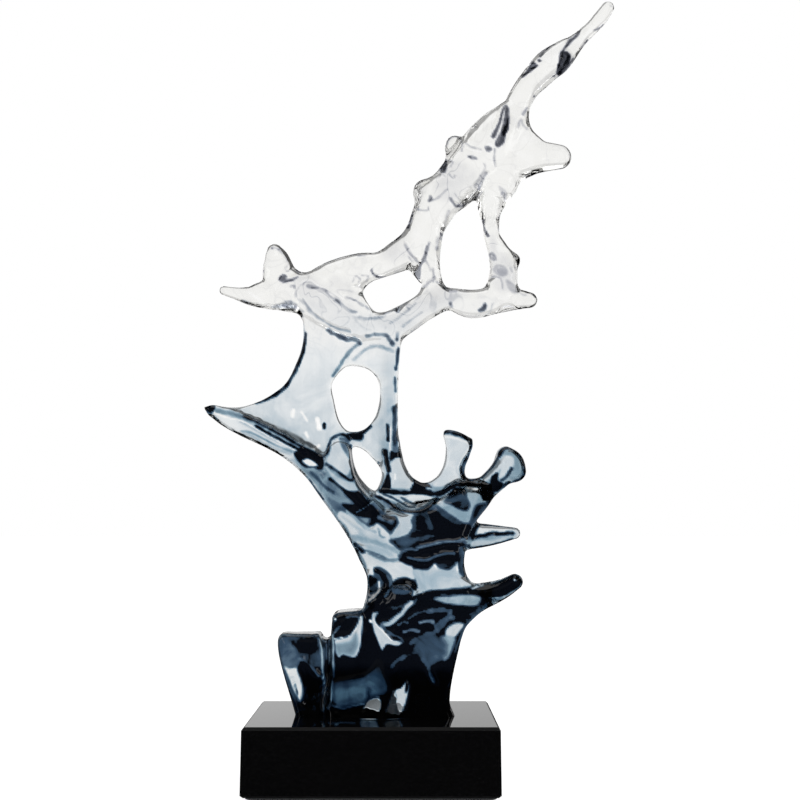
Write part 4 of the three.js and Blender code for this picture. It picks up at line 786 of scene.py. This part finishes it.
    "saddle_speck_three": ("vein", 2.2, -0.5, 0.6, beam_view, [(1160, 380), (1212, 392)]),
    "saddle_speck_four": ("vein", 1.4, -0.4, 0.5, beam_view, [(940, 332), (970, 360), (950, 388)]),
    "saddle_top": ("vein", 2.2, 0, 0.7, beam_view, [(1040, 127), (1130, 124), (1190, 127), (1245, 124)]),
    "beam_blue": ("vein", 1.5, 0.8, 1.6, beam_view, [(1150, 640), (1220, 652), (1330, 642), (1400, 627)]),
    "beam_arc": ("vein", 1.5, -0.8, 0.8, beam_view, [(1160, 660), (1220, 720), (1290, 745)]),
    "beam_right_fold": ("vein", 1.8, -1, 0.8, beam_view, [(1500, 602), (1560, 535)]),
    # round the bean, and the beam's crossing lines
    "slot_smile": ("vein", 5, -1, 0.8, slot_view, [(445, 190), (460, 215), (500, 232), (560, 225),
        (610, 205)]),
    "slot_stroke_one": ("vein", 4.5, -1, 0.8, slot_view, [(655, 30), (680, 80), (715, 115), (745, 150)]),
    "slot_wedge": ("vein", 6, -1, 1.1, slot_view, [(790, 40), (775, 110), (745, 170), (738, 235)]),
    "beam_grey_one": ("vein", 3.8, -1, 0.9, slot_view, [(160, 320), (200, 360), (250, 390), (300, 430),
        (350, 450)]),
    "beam_grey_two": ("vein", 3.2, 1, 0.9, slot_view, [(290, 355), (340, 375), (390, 410)]),
    "beam_grey_three": ("vein", 3.8, -1, 0.8, slot_view, [(20, 370), (70, 440), (140, 500), (220, 545),
        (310, 570)]),
    "beam_grey_four": ("vein", 3.4, -0.5, 0.8, slot_view, [(520, 460), (580, 440), (640, 400), (700, 360),
        (760, 310)]),
    "beam_grey_five": ("vein", 3, -1, 0.8, slot_view, [(560, 520), (620, 480), (680, 430), (720, 395)]),
    "beam_grey_six": ("vein", 2.6, 1, 0.9, slot_view, [(640, 540), (700, 490), (760, 450)]),
    "beam_join": ("vein", 4.5, -1, 0.9, slot_view, [(760, 300), (800, 270), (835, 240)]),
    "beam_join_right": ("vein", 3.8, -1, 0.8, slot_view, [(850, 262), (900, 290), (930, 322)]),
    "beam_teal": ("vein", 3, 0.5, 1.2, slot_view, [(370, 480), (430, 490), (510, 480)]),
    "beam_dot": ("pool", 6, -0.5, 0.8, slot_view, [(595, 425), (622, 432), (615, 450), (596, 445)]),
    # waist between the bean and the egg
    "waist_left": ("vein", 6, -1, 1.1, egg_view, [(364, 122), (346, 190), (332, 238)]),
    "waist_left_low": ("vein", 2.2, 0, 0.6, egg_view, [(300, 290), (250, 330), (180, 375)]),
    "waist_right": ("vein", 1.8, 0.5, 1.5, egg_view, [(685, 95), (652, 220), (640, 300)]),
    "waist_streak": ("vein", 1.6, 0.5, 1.4, egg_view, [(592, 330), (582, 430)]),
    "fork_stem": ("vein", 3.8, -2, 1.1, egg_view, [(515, 380), (492, 440), (480, 500), (442, 560),
        (408, 630)]),
    "fork_right": ("vein", 2.2, -1, 0.8, egg_view, [(480, 522), (510, 572), (530, 622)]),
    "web_line_one": ("vein", 2.3, -1, 0.8, egg_view, [(300, 372), (340, 430), (400, 530)]),
    "web_line_two": ("vein", 2.2, -1, 0.8, egg_view, [(335, 492), (370, 542)]),
    "fork_foot": ("pool", 2.8, 0, 0.8, egg_view, [(385, 630), (430, 615), (432, 700), (410, 690)]),
    "waist_beads": ("vein", 2.8, 0.8, 1.2, egg_view, [(545, 602), (555, 660), (550, 712)]),
    "egg_low": ("vein", 2.1, -0.8, 1.0, egg_view, [(590, 715), (640, 745), (710, 790), (780, 792),
        (850, 787), (930, 765), (1020, 735)]),
    "bean_right": ("vein", 2.6, -0.5, 1.0, egg_view, [(485, 755), (502, 720), (540, 700)]),
    "beam_slash_one": ("vein", 2.2, -0.8, 0.8, egg_view, [(242, 970), (282, 920), (350, 910)]),
    "beam_slash_two": ("vein", 3.2, -0.8, 0.8, egg_view, [(320, 930), (345, 952)]),
    "beam_slash_three": ("vein", 1.7, -0.8, 0.8, egg_view, [(385, 880), (440, 840), (500, 792)]),
    # right limb and the foot of the egg
    "egg_right": ("vein", 7, -1, 1.1, egg_view, [(985, 178), (988, 230), (1010, 280), (1030, 310)]),
    "bead_one": ("pool", 3, 1, 0.8, egg_view, [(1030, 482), (1060, 455), (1090, 480), (1102, 520),
        (1060, 522)]),
    "bead_spark": ("vein", 0, 0.5, 0.8, egg_view, [(1060, 488), (1064, 491)]),
    "limb_blue": ("pool", 1.7, 1, 1.2, egg_view, [(1070, 602), (1110, 562), (1180, 580), (1200, 640),
        (1150, 668), (1090, 642)]),
    "limb_zigzag": ("vein", 3.4, -1.2, 0.7, egg_view, [(1045, 690), (1080, 667), (1130, 680), (1150, 720),
        (1155, 770)]),
    "limb_bump": ("vein", 1.9, 0, 0.7, egg_view, [(1300, 512), (1305, 570), (1277, 600)]),
    "limb_mark": ("vein", 2.6, -0.8, 0.9, egg_view, [(1220, 592), (1235, 620)]),
    "limb_low": ("pool", 1.4, 0.5, 1.2, egg_view, [(1190, 692), (1260, 740), (1300, 800), (1250, 812),
        (1200, 762)]),
    "limb_knuckle": ("vein", 1.8, -0.8, 1.1, egg_view, [(1300, 802), (1340, 830), (1400, 802),
        (1440, 832)]),
    "dark_bead": ("pool", 7, -2, 0.8, egg_view, [(942, 960), (980, 930), (1000, 900), (1016, 920),
        (1000, 960), (960, 975)]),
    "left_bead": ("vein", 4.4, -1, 1.1, egg_view, [(700, 902), (715, 930)]),
    "lobe_edge": ("vein", 2.2, -0.5, 0.7, egg_view, [(750, 1000), (830, 1030), (930, 1043), (1000, 1020)]),
    "lobe_arc": ("vein", 2.1, -1, 0.8, egg_view, [(1070, 900), (1050, 960), (1000, 1010)]),
    # nub, lobe and the top of the egg
    "nub_rim": ("vein", 2.8, 1, 0.9, lobe_view, [(402, 320), (422, 262), (470, 232), (520, 247), (545, 310),
        (535, 358)]),
    "nub_dark": ("pool", 6, 0, 0.8, lobe_view, [(345, 522), (405, 430), (396, 540)]),
    "nub_hook": ("vein", 3, -1, 0.8, lobe_view, [(430, 442), (460, 452), (440, 500)]),
    "nub_speck_one": ("vein", 2.2, -0.6, 0.6, lobe_view, [(330, 592), (360, 562), (395, 580)]),
    "nub_speck_two": ("vein", 3, -0.8, 0.7, lobe_view, [(430, 562), (460, 592), (480, 570)]),
    "lobe_shadow": ("vein", 2.6, -1.8, 1.0, lobe_view, [(410, 692), (370, 730), (310, 775), (250, 787)]),
    "lobe_dark": ("pool", 3.4, -0.5, 0.6, lobe_view, [(245, 792), (265, 742), (285, 780), (255, 800)]),
    "lobe_curl": ("vein", 2.6, -1, 1.0, lobe_view, [(130, 850), (170, 870), (235, 875), (250, 850)]),
    "egg_top_one": ("vein", 4, -1, 1.0, lobe_view, [(440, 772), (480, 830), (520, 842), (600, 802)]),
    "egg_top_two": ("vein", 2.2, -0.8, 0.8, lobe_view, [(480, 732), (525, 800)]),
    "egg_top_three": ("vein", 3.6, -1.2, 0.9, lobe_view, [(620, 812), (660, 770), (715, 712)]),
    "seam_left": ("vein", 2.2, -1.2, 1.2, lobe_view, [(735, 472), (740, 510), (700, 580), (650, 670)]),
    "seam_middle": ("vein", 4, -1.5, 1.4, lobe_view, [(752, 550), (712, 620), (682, 690)]),
    "seam_right": ("vein", 3, -1.2, 0.9, lobe_view, [(825, 342), (820, 420), (830, 490)]),
    "seam_knot": ("pool", 4.4, -1, 0.8, lobe_view, [(745, 322), (790, 320), (800, 350), (760, 360)]),
    "seam_spark": ("vein", 0, 1, 1.8, lobe_view, [(780, 300), (788, 308)]),
    "saddle_rim": ("vein", 1.9, 1.2, 1.0, lobe_view, [(570, 290), (620, 322), (700, 342)]),
    "saddle_rim_white": ("vein", 0, -0.8, 1.2, lobe_view, [(580, 335), (640, 352), (700, 362)]),
    "rim_fleck": ("pool", 2.6, -0.5, 0.8, lobe_view, [(590, 402), (620, 398), (660, 410), (670, 430),
        (610, 422)]),
    "high_fleck": ("vein", 3.2, -0.8, 1.0, lobe_view, [(645, 135), (658, 152)]),
    "paddle_low": ("vein", 2.6, -0.5, 0.9, lobe_view, [(1090, 575), (1200, 560), (1300, 540), (1400, 515),
        (1460, 482)]),
    "paddle_rim": ("vein", 1.4, 0, 0.6, lobe_view, [(1380, 292), (1450, 350), (1488, 430), (1470, 480)]),
    "throat_fold": ("pool", 1.1, 0.8, 1.2, lobe_view, [(860, 662), (930, 710), (922, 780), (880, 732)]),
    "throat_mark": ("vein", 2.6, -0.5, 0.8, lobe_view, [(908, 760), (918, 790)]),
    # slots and edges of the upper arm
    "low_slot_left": ("pool", 6.5, -2.5, 0.8, arm_view, [(370, 1100), (340, 1140), (318, 1220), (290, 1300),
        (240, 1392), (225, 1432), (252, 1440), (292, 1370), (322, 1280), (345, 1190)]),
    "low_slot_right": ("pool", 5.6, -2.5, 0.8, arm_view, [(375, 1098), (402, 1130), (405, 1200),
        (402, 1330), (372, 1400), (352, 1490), (290, 1538), (262, 1500), (300, 1425), (332, 1350),
        (352, 1260), (365, 1170)]),
    "low_slot_white": ("vein", 0.2, 0.5, 0.9, arm_view, [(356, 1170), (342, 1250), (312, 1330),
        (282, 1400)]),
    "low_slot_rim": ("vein", 0, 0.8, 0.8, arm_view, [(335, 1085), (300, 1200), (270, 1300), (215, 1400)]),
    "arch_left": ("pool", 2.1, -0.8, 0.9, arm_view, [(540, 1182), (600, 1120), (592, 1160), (560, 1210)]),
    "arch_right": ("vein", 2.4, -1.2, 1.0, arm_view, [(500, 1330), (530, 1255), (550, 1300), (600, 1350)]),
    "arm_throat": ("vein", 2.1, 0, 0.7, arm_view, [(630, 1160), (603, 1220)]),
    "tip_edge": ("vein", 1.8, 0, 0.8, arm_view, [(1480, 62), (1508, 72), (1508, 110), (1480, 190),
        (1420, 250)]),
    "arm_edge_dark": ("vein", 6.5, -0.5, 0.8, arm_view, [(1390, 260), (1340, 300), (1292, 320)]),
    "arm_white": ("vein", 0, 0.8, 1.1, arm_view, [(1400, 222), (1290, 302), (1200, 380), (1162, 460)]),
    "arm_edge_grey": ("vein", 2.6, -0.5, 0.7, arm_view, [(1240, 390), (1190, 440), (1150, 540),
        (1105, 600)]),
    "arm_low_edge": ("vein", 3.4, 0, 0.6, arm_view, [(1085, 670), (1050, 720), (1010, 760), (930, 830)]),
    "high_slot_neck": ("vein", 10, -2.5, 1.2, arm_view, [(1010, 382), (1080, 347), (1138, 322), (1118, 370),
        (1050, 432), (990, 502), (957, 570)]),
    "high_slot": ("pool", 12, -3, 0.8, arm_view, [(950, 542), (1000, 540), (1020, 547), (1050, 580),
        (1040, 640), (1000, 690), (952, 742), (965, 768), (930, 785), (902, 770), (910, 730), (932, 640)]),
    "high_slot_shine": ("vein", 5, 0.5, 0.5, arm_view, [(985, 572), (1000, 602), (975, 650), (960, 700)]),
    "high_slot_rim": ("vein", 0, 0.8, 0.8, arm_view, [(917, 560), (897, 690), (882, 775), (925, 808),
        (985, 800)]),
    "left_slot_outer": ("vein", 9, 0, 0.8, arm_view, [(510, 810), (530, 750), (570, 680), (620, 622),
        (660, 592)]),
    "left_slot": ("pool", 4.6, -2, 0.8, arm_view, [(545, 800), (600, 732), (650, 642), (690, 672),
        (708, 682), (660, 712), (600, 770)]),
    "left_slot_dark": ("vein", 11, -1, 0.8, arm_view, [(552, 800), (620, 745), (700, 687)]),
    "left_slot_white": ("vein", 0.2, 0.5, 0.8, arm_view, [(592, 720), (630, 652), (662, 622)]),
    "left_slot_upper": ("vein", 12, -1.5, 0.9, arm_view, [(735, 592), (780, 530), (830, 480), (875, 452)]),
    "left_slot_bead": ("vein", 8, -0.5, 1.0, arm_view, [(722, 628), (728, 634)]),
    "arm_inner_white": ("vein", 0, 0.6, 0.8, arm_view, [(445, 930), (480, 860), (540, 790)]),
}

# The marks were seen by the camera, so they are painted on an upright sheet in the sculpture's
# middle, and each point of the casting takes what the camera's line of sight to it crosses there.
eye = np.array(camera_place) / mm - (0, 0, foot_height / mm)
photo_width = 800
sheet_pitch = 0.75
sheet_x = np.arange(pour_low[0], pour_high[0] + sheet_pitch, sheet_pitch)
sheet_z = np.arange(pour_low[2], pour_high[2] + sheet_pitch, sheet_pitch)
relief = np.zeros((len(sheet_x), len(sheet_z)))
painted_light_and_shade = np.zeros_like(relief)
plain = np.ones_like(relief)


def line_distance(points, x, z):
    """How far (x, z) is from a line drawn through the points."""
    nearest = np.full(np.broadcast(x, z).shape, np.inf)
    for (ax, az), (bx, bz) in zip(points, points[1:]):
        ex, ez = bx - ax, bz - az
        t = np.clip(((x - ax) * ex + (z - az) * ez) / (ex * ex + ez * ez), 0, 1)
        nearest = np.minimum(nearest, (x - ax - t * ex) ** 2 + (z - az - t * ez) ** 2)
    return np.sqrt(nearest)


def soft_step(low, high, value):
    """From 0 at low to 1 at high, starting and ending gently."""
    t = np.clip((value - low) / (high - low), 0, 1)
    return t * t * (3 - 2 * t)


def hand_drift(x, z):
    """From -1 to 1, uneven like a line drawn by hand."""
    return np.sin(0.33 * x + 2 * np.sin(0.17 * z)) * np.sin(0.29 * z + 2 * np.sin(0.21 * x))


def on_middle_plane(close_up, points):
    """The (x, z) on the sculpture's upright middle plane that the camera sees at these points."""
    left, top, times = close_up
    pixels = np.array(points, float) / times + (left, top)
    focal = camera_data.lens / camera_data.sensor_width * photo_width
    right, up = (pixels[:, 0] - photo_width / 2) / focal, (photo_width / 2 - pixels[:, 1]) / focal
    ahead = math.cos(camera_tilt) - up * math.sin(camera_tilt)
    rise = math.sin(camera_tilt) + up * math.cos(camera_tilt)
    reach = -eye[1] / ahead
    return np.column_stack([eye[0] + right * reach, eye[2] + rise * reach])


# Above clear_half a pale vein holds less painted shade and stands higher, because clear resin shows a
# line by its shape. Below it, veins up to dark_vein cover evenly, so that their painted highlights stay
# pale on dark resin.
clear_half = 375
palest_vein = 1
pale_vein = 4.6
dark_vein = 5
clear_painted_vein_share = 0.7
clear_height_share = 1.3
pool_shoulder = 5
vein_softness = 0.8
vein_waver = 0.3
vein_cover = 0.8
cover_waver = 0.2
for kind, tint_with_painted_light, height, size, close_up, points in marks.values():
    points = on_middle_plane(close_up, points)
    line = flowing(points, kind == "pool")
    in_clear_half = points[:, 1].mean() > clear_half
    if kind == "vein" and palest_vein < tint_with_painted_light < pale_vein and in_clear_half:
        tint_with_painted_light, height = clear_painted_vein_share * tint_with_painted_light, clear_height_share * height
    margin = 3 * size + 3
    low, high = line.min(0) - margin, line.max(0) + margin
    part = (slice(*np.searchsorted(sheet_x, (low[0], high[0]))),
            slice(*np.searchsorted(sheet_z, (low[1], high[1]))))
    x, z = sheet_x[part[0]][:, None], sheet_z[part[1]][None, :]
    if kind == "pool":
        away = outline_distance(line, x, z)
        cover = soft_step(size, -size, away)
        raised = soft_step(size, -pool_shoulder, away)
    else:
        drift = hand_drift(x, z)
        away = line_distance(line, x, z) * (1 + vein_waver * drift)
        cover = soft_step(size + vein_softness, size - vein_softness, away)
        if tint_with_painted_light > dark_vein or in_clear_half:
            cover *= vein_cover - cover_waver * drift
        raised = np.clip(1 - (away / (2 * size + 1)) ** 2, 0, 1) ** 2
    relief[part] += height * raised
    # Each mark's painted light and shade covers what lay there before.
    painted_light_and_shade[part] = painted_light_and_shade[part] * (1 - cover) + tint_with_painted_light * cover
    plain[part] *= 1 - cover


def on_sheet(sheet, x, y, z):
    """What a sheet holds where the line of sight to (x, y, z) crosses it."""
    share = -eye[1] / (y - eye[1])
    u = (eye[0] + (x - eye[0]) * share - pour_low[0]) / sheet_pitch
    v = (eye[2] + (z - eye[2]) * share - pour_low[2]) / sheet_pitch
    u = np.clip(u, 0, len(sheet_x) - 1.001)
    v = np.clip(v, 0, len(sheet_z) - 1.001)
    i, j = u.astype(int), v.astype(int)
    u, v = u - i, v - j
    return ((sheet[i, j] * (1 - u) + sheet[i + 1, j] * u) * (1 - v)
            + (sheet[i, j + 1] * (1 - u) + sheet[i + 1, j + 1] * u) * v)


# The relief is worked into the front only: where the skin turns away it fades.
fully_front = 0.7
facing = -np.gradient(level, cell, axis=1)
across, upward = np.meshgrid(grid[0], grid[2], indexing="ij")
for layer, y in enumerate(grid[1]):
    level[:, layer] -= on_sheet(relief, across, y, upward) * soft_step(0, fully_front, facing[:, layer])

# How deep the resin is from front to back, in centimetres and evened out, sets how dark its dye
# looks. Each pour made the dye stronger: full up to its first height, gone from its second one, and
# by so many times. The clear resin above the pours keeps a faint haze.
dye_pours = [(20, 60, 2), (60, 130, 1.4), (185, 235, 1)]
dye_full, dye_gone = 270, 410
haze_none, haze_full = 330, 400
haze = 0.14
depth = (level < 0).sum(axis=1).astype(float) * cell / 10
for _ in range(2):
    depth = sum(np.roll(depth, shift, axis) for axis in (0, 1) for shift in (-1, 0, 1)) / 6
depth *= sum((more * soft_step(gone, full, grid[2]) for full, gone, more in dye_pours), 1)
depth = depth * soft_step(dye_gone, dye_full, grid[2]) + haze * soft_step(haze_none, haze_full, grid[2])

volume = openvdb.FloatGrid(fillet)
volume.copyFromArray(level)
skin_points, quads = volume.convertToQuads(isovalue=0.0)
skin_points = skin_points * cell + pour_low


def skin_piece(name, low, high):
    """The poured form between two heights, closed by flat faces where it is cut."""
    mesh = bpy.data.meshes.new(name)
    mesh.from_pydata((skin_points * mm).tolist(), [], quads.tolist())
    shape = bmesh.new()
    shape.from_mesh(mesh)
    bmesh.ops.recalc_face_normals(shape, faces=shape.faces)
    if shape.calc_volume(signed=True) < 0:
        bmesh.ops.reverse_faces(shape, faces=shape.faces)
    for height, side in ((low, 1), (high, -1)):
        if height is None:
            continue
        cut = bmesh.ops.bisect_plane(
            shape, geom=shape.verts[:] + shape.edges[:] + shape.faces[:], plane_co=(0, 0, height * mm),
            plane_no=(0, 0, -side), clear_outer=True)
        rim = [piece for piece in cut["geom_cut"] if isinstance(piece, bmesh.types.BMEdge)]
        bmesh.ops.triangle_fill(shape, edges=rim, use_beauty=True, normal=(0, 0, -side))
    bmesh.ops.translate(shape, verts=shape.verts, vec=(0, 0, foot_height))
    shape.to_mesh(mesh)
    shape.free()
    piece = bpy.data.objects.new(name, mesh)
    bpy.context.scene.collection.objects.link(piece)
    return piece


def in_threes(mesh, name):
    """A row of three numbers for each point of the mesh."""
    numbers = np.zeros(len(mesh.vertices) * 3)
    mesh.vertices.foreach_get(name, numbers)
    return numbers.reshape(-1, 3)


# Up to both_sides_dyed the whole depth holds the dye and the marks' painted light and shade, and above
# front_skin_dyed the front skin only, so that what lies behind the painted marks doesn't double them.
both_sides_dyed = 22
front_skin_dyed = 45
casting = skin_piece("casting_skin", 0, None)
x, y, z = (in_threes(casting.data, "co") / mm - (0, 0, foot_height / mm)).T
column = ((x - pour_low[0]) / cell).round().astype(int).clip(0, counts[0] - 1)
row = ((z - pour_low[2]) / cell).round().astype(int).clip(0, counts[2] - 1)
# The dye of the resin's depth where no mark lies, plus the marks' painted shade and highlights.
casting_tint_and_painted_light = depth[column, row] * on_sheet(plain, x, y, z) + on_sheet(painted_light_and_shade, x, y, z)
casting_tint_and_painted_light *= 1 - in_threes(casting.data, "normal")[:, 1] * soft_step(both_sides_dyed, front_skin_dyed, z)
tint_and_light_attribute = casting.data.attributes.new("tint_with_painted_light", "FLOAT", "POINT")
tint_and_light_attribute.data.foreach_set("value", casting_tint_and_painted_light.astype(np.float32))
casting.data.shade_smooth()

# The dye swirled a little while the resin set. In the clear part it drew out into fine threads,
# and looks like grey smoke instead of navy.
resin, nodes, links, shader = new_material("tinted_clear_resin")
place = nodes.new("ShaderNodeTexCoord")
# It reads the dye together with the painted light and shade of the marks.
painted_and_dyed_depth = nodes.new("ShaderNodeAttribute")
painted_and_dyed_depth.attribute_name = "tint_with_painted_light"
wisps = noise(scale=28, detail=4, distortion=1.5)
swirl = ramp(wisps, start=0.3, end=0.7, low=0.65, high=1.35, curve="LINEAR")
swirled = combine("MULTIPLY", painted_and_dyed_depth.outputs["Fac"], swirl)
up_the_piece = nodes.new("ShaderNodeSeparateXYZ")
links.new(place.outputs["Object"], up_the_piece.inputs["Vector"])
clearing = ramp(up_the_piece.outputs["Z"], start=0.4, end=0.47, curve="LINEAR")
noise_middle = 0.5
threads = noise(scale=20, detail=1, distortion=1.8)
from_thread = combine("ABSOLUTE", combine("SUBTRACT", threads, noise_middle))
thread = ramp(from_thread, start=0.03, end=0, high=1.1)
clear_thread = combine("MULTIPLY", thread, clearing)
threaded = combine("MULTIPLY_ADD", clear_thread, swirled, swirled)

# The colour of white light that comes through so many centimetres of the dyed resin.
deepest = 20
navy = [
    (0, (1, 1, 1)), (0.3, (0.88, 0.88, 0.86)), (1, (0.66, 0.71, 0.74)), (2, (0.4, 0.48, 0.54)),
    (3.5, (0.17, 0.27, 0.36)), (5, (0.065, 0.14, 0.21)), (8, (0.010, 0.026, 0.053)),
    (12, (0.0018, 0.0065, 0.018)), (deepest, (0.000006, 0.000012, 0.00004)),
]
smoke = [
    (0, (1, 1, 1)), (0.3, (0.86, 0.855, 0.82)), (1, (0.66, 0.66, 0.66)), (2, (0.4, 0.41, 0.44)),
    (3.5, (0.2, 0.21, 0.25)), (5, (0.11, 0.12, 0.15)), (8, (0.03, 0.033, 0.045)),
    (12, (0.006, 0.007, 0.011)), (deepest, (0.00002, 0.00003, 0.00006)),
]
share = combine("DIVIDE", threaded, deepest)
colour = nodes.new("ShaderNodeMix")
colour.data_type = "RGBA"
links.new(clearing, colour.inputs["Factor"])
for socket, tints in ((6, navy), (7, smoke)):
    tint = toned(share, *((centimetres / deepest, tone) for centimetres, tone in tints))
    links.new(tint, colour.inputs[socket])
links.new(colour.outputs[2], shader.inputs["Base Color"])
shader.inputs["Transmission Weight"].default_value = 1
shader.inputs["IOR"].default_value = 1.5
shader.inputs["Roughness"].default_value = 0.0
casting.data.materials.append(resin)
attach(casting, "root")
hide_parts("resin_casting")


# Adhesive layer: half a millimetre of clear epoxy between the casting's flat foot and the stone.
# It fills the polished contact, so that the joint doesn't show as a line of air.
film_thickness = 0.5
bedding = skin_piece("bedding_film", -film_thickness, 0)
adhesive, nodes, links, shader = new_material("clear_epoxy_film")
place = nodes.new("ShaderNodeTexCoord")
cloud_tone = toned(noise(scale=60), (0, (0.1, 0.13, 0.17)), (1, (0.2, 0.25, 0.3)))
links.new(cloud_tone, shader.inputs["Base Color"])
shader.inputs["Transmission Weight"].default_value = 1
shader.inputs["IOR"].default_value = 1.5
shader.inputs["Roughness"].default_value = 0.1
bedding.data.materials.append(adhesive)
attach(bedding, "root")
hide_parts("adhesive_layer")


# Floor and light: a plain white floor in a studio with lit white screens and a softbox overhead.
# Grey panels between the screens draw the clear resin's edges.
floor_mesh = bpy.data.meshes.new("studio_floor")
reach = 12
corners = [(-reach, -reach, 0), (reach, -reach, 0), (reach, reach, 0), (-reach, reach, 0)]
floor_mesh.from_pydata(corners, [], [(0, 1, 2, 3)])
floor = bpy.data.objects.new("studio_floor", floor_mesh)
bpy.context.scene.collection.objects.link(floor)
white, nodes, links, shader = new_material("white_floor")
shader.inputs["Base Color"].default_value = (0.8, 0.8, 0.8, 1)
shader.inputs["Roughness"].default_value = 0.9
shader.inputs["Emission Color"].default_value = (1, 1, 1, 1)
shader.inputs["Emission Strength"].default_value = 0.96
floor_mesh.materials.append(white)
floor.visible_glossy = False
floor.visible_transmission = False

world = bpy.data.worlds.new("studio")
bpy.context.scene.world = world
world.use_nodes = True
nodes = world.node_tree.nodes
links = world.node_tree.links
nodes.clear()
direction = nodes.new("ShaderNodeTexCoord")
split = nodes.new("ShaderNodeSeparateXYZ")
links.new(direction.outputs["Generated"], split.inputs["Vector"])
path = nodes.new("ShaderNodeLightPath")


def backdrop(strength):
    """White light from all round, as strong as a number or another node says."""
    node = nodes.new("ShaderNodeBackground")
    node.inputs["Color"].default_value = (1, 1, 1, 1)
    if isinstance(strength, (int, float)):
        node.inputs["Strength"].default_value = strength
    else:
        links.new(strength, node.inputs["Strength"])
    return node.outputs["Background"]


def choose(share, first, second):
    """The first light where the share is 0 and the second where it is 1."""
    node = nodes.new("ShaderNodeMixShader")
    links.new(share, node.inputs["Fac"])
    links.new(first, node.inputs[1])
    links.new(second, node.inputs[2])
    return node.outputs["Shader"]


# How far a direction points to the right, to the back and up, each from -1 to 1.
x_share, y_share, z_share = split.outputs
ahead = combine("ABSOLUTE", y_share)
aside = combine("ABSOLUTE", x_share)
# What shows through the resin: white screens behind and in front, wide above and narrow below, and
# white at the far sides. Between them the panels are pale grey above, middle grey at the right and
# far below, and dark grey elsewhere.
screen_edge = ramp(z_share, start=-0.08, end=0.22, low=0.86, high=0.5)
screen = ramp(combine("SUBTRACT", ahead, screen_edge), start=-0.04, end=0.06)
screens = combine("MAXIMUM", screen, ramp(aside, start=0.955, end=0.975))
below = ramp(z_share, start=-0.75, end=-0.6)
above = ramp(z_share, start=0.85, end=0.65)
screens = combine("MULTIPLY", screens, combine("MULTIPLY", below, above))
pale_above = ramp(z_share, start=0.04, end=0.2, low=0.12, high=0.8)
grey_below = ramp(z_share, start=-0.45, end=-0.65, low=0.01, high=0.5)
grey_right = ramp(x_share, start=0.1, end=0.4, low=0.01, high=0.35)
panel = combine("MAXIMUM", combine("MAXIMUM", pale_above, grey_below), grey_right)
through = combine("MAXIMUM", screens, panel)
# What the surfaces mirror: the lit screen behind, from just above the table up and brighter on the
# left, and two tall softboxes at each side. The rest of the room is nearly black.
softbox_height = 0.3
softbox_light = 1.4
room_light = 0.015
mirrored = combine("MULTIPLY", ramp(ahead, start=0.75, end=0.85), ramp(z_share, start=0.02, end=0.06))
mirrored = combine("MULTIPLY", mirrored, ramp(z_share, start=0.7, end=0.55))
mirrored = combine("MULTIPLY", mirrored, ramp(y_share, start=-0.2, end=0.2, low=0.05))
mirrored = combine("MULTIPLY", mirrored, ramp(x_share, start=-0.5, end=0.5, low=1.25, high=0.9))
strip = combine("MULTIPLY", ramp(aside, start=0.72, end=0.76), ramp(aside, start=0.86, end=0.82))
from_middle = combine("ABSOLUTE", combine("SUBTRACT", z_share, softbox_height))
strip = combine("MULTIPLY", strip, ramp(from_middle, start=0.3, end=0.2))
mirrored = combine("MAXIMUM", mirrored, combine("MULTIPLY", strip, softbox_light))
mirrored = combine("MAXIMUM", mirrored, room_light)
lit = choose(path.outputs["Is Transmission Ray"], backdrop(mirrored), backdrop(through))
seen = choose(path.outputs["Is Camera Ray"], lit, backdrop(1))
out = nodes.new("ShaderNodeOutputWorld")
links.new(seen, out.inputs["Surface"])

softbox = bpy.data.lights.new("top_softbox", "AREA")
softbox.shape = "SQUARE"
softbox.size = 1.6
softbox.energy = 8
lamp = bpy.data.objects.new("top_softbox", softbox)
lamp.location = (0, 0, 2.4)
bpy.context.scene.collection.objects.link(lamp)

bpy.context.scene.view_settings.view_transform = "Standard"
bpy.context.scene.view_settings.look = "None"
bpy.context.scene.view_settings.exposure = 0
bpy.context.scene.view_settings.gamma = 1
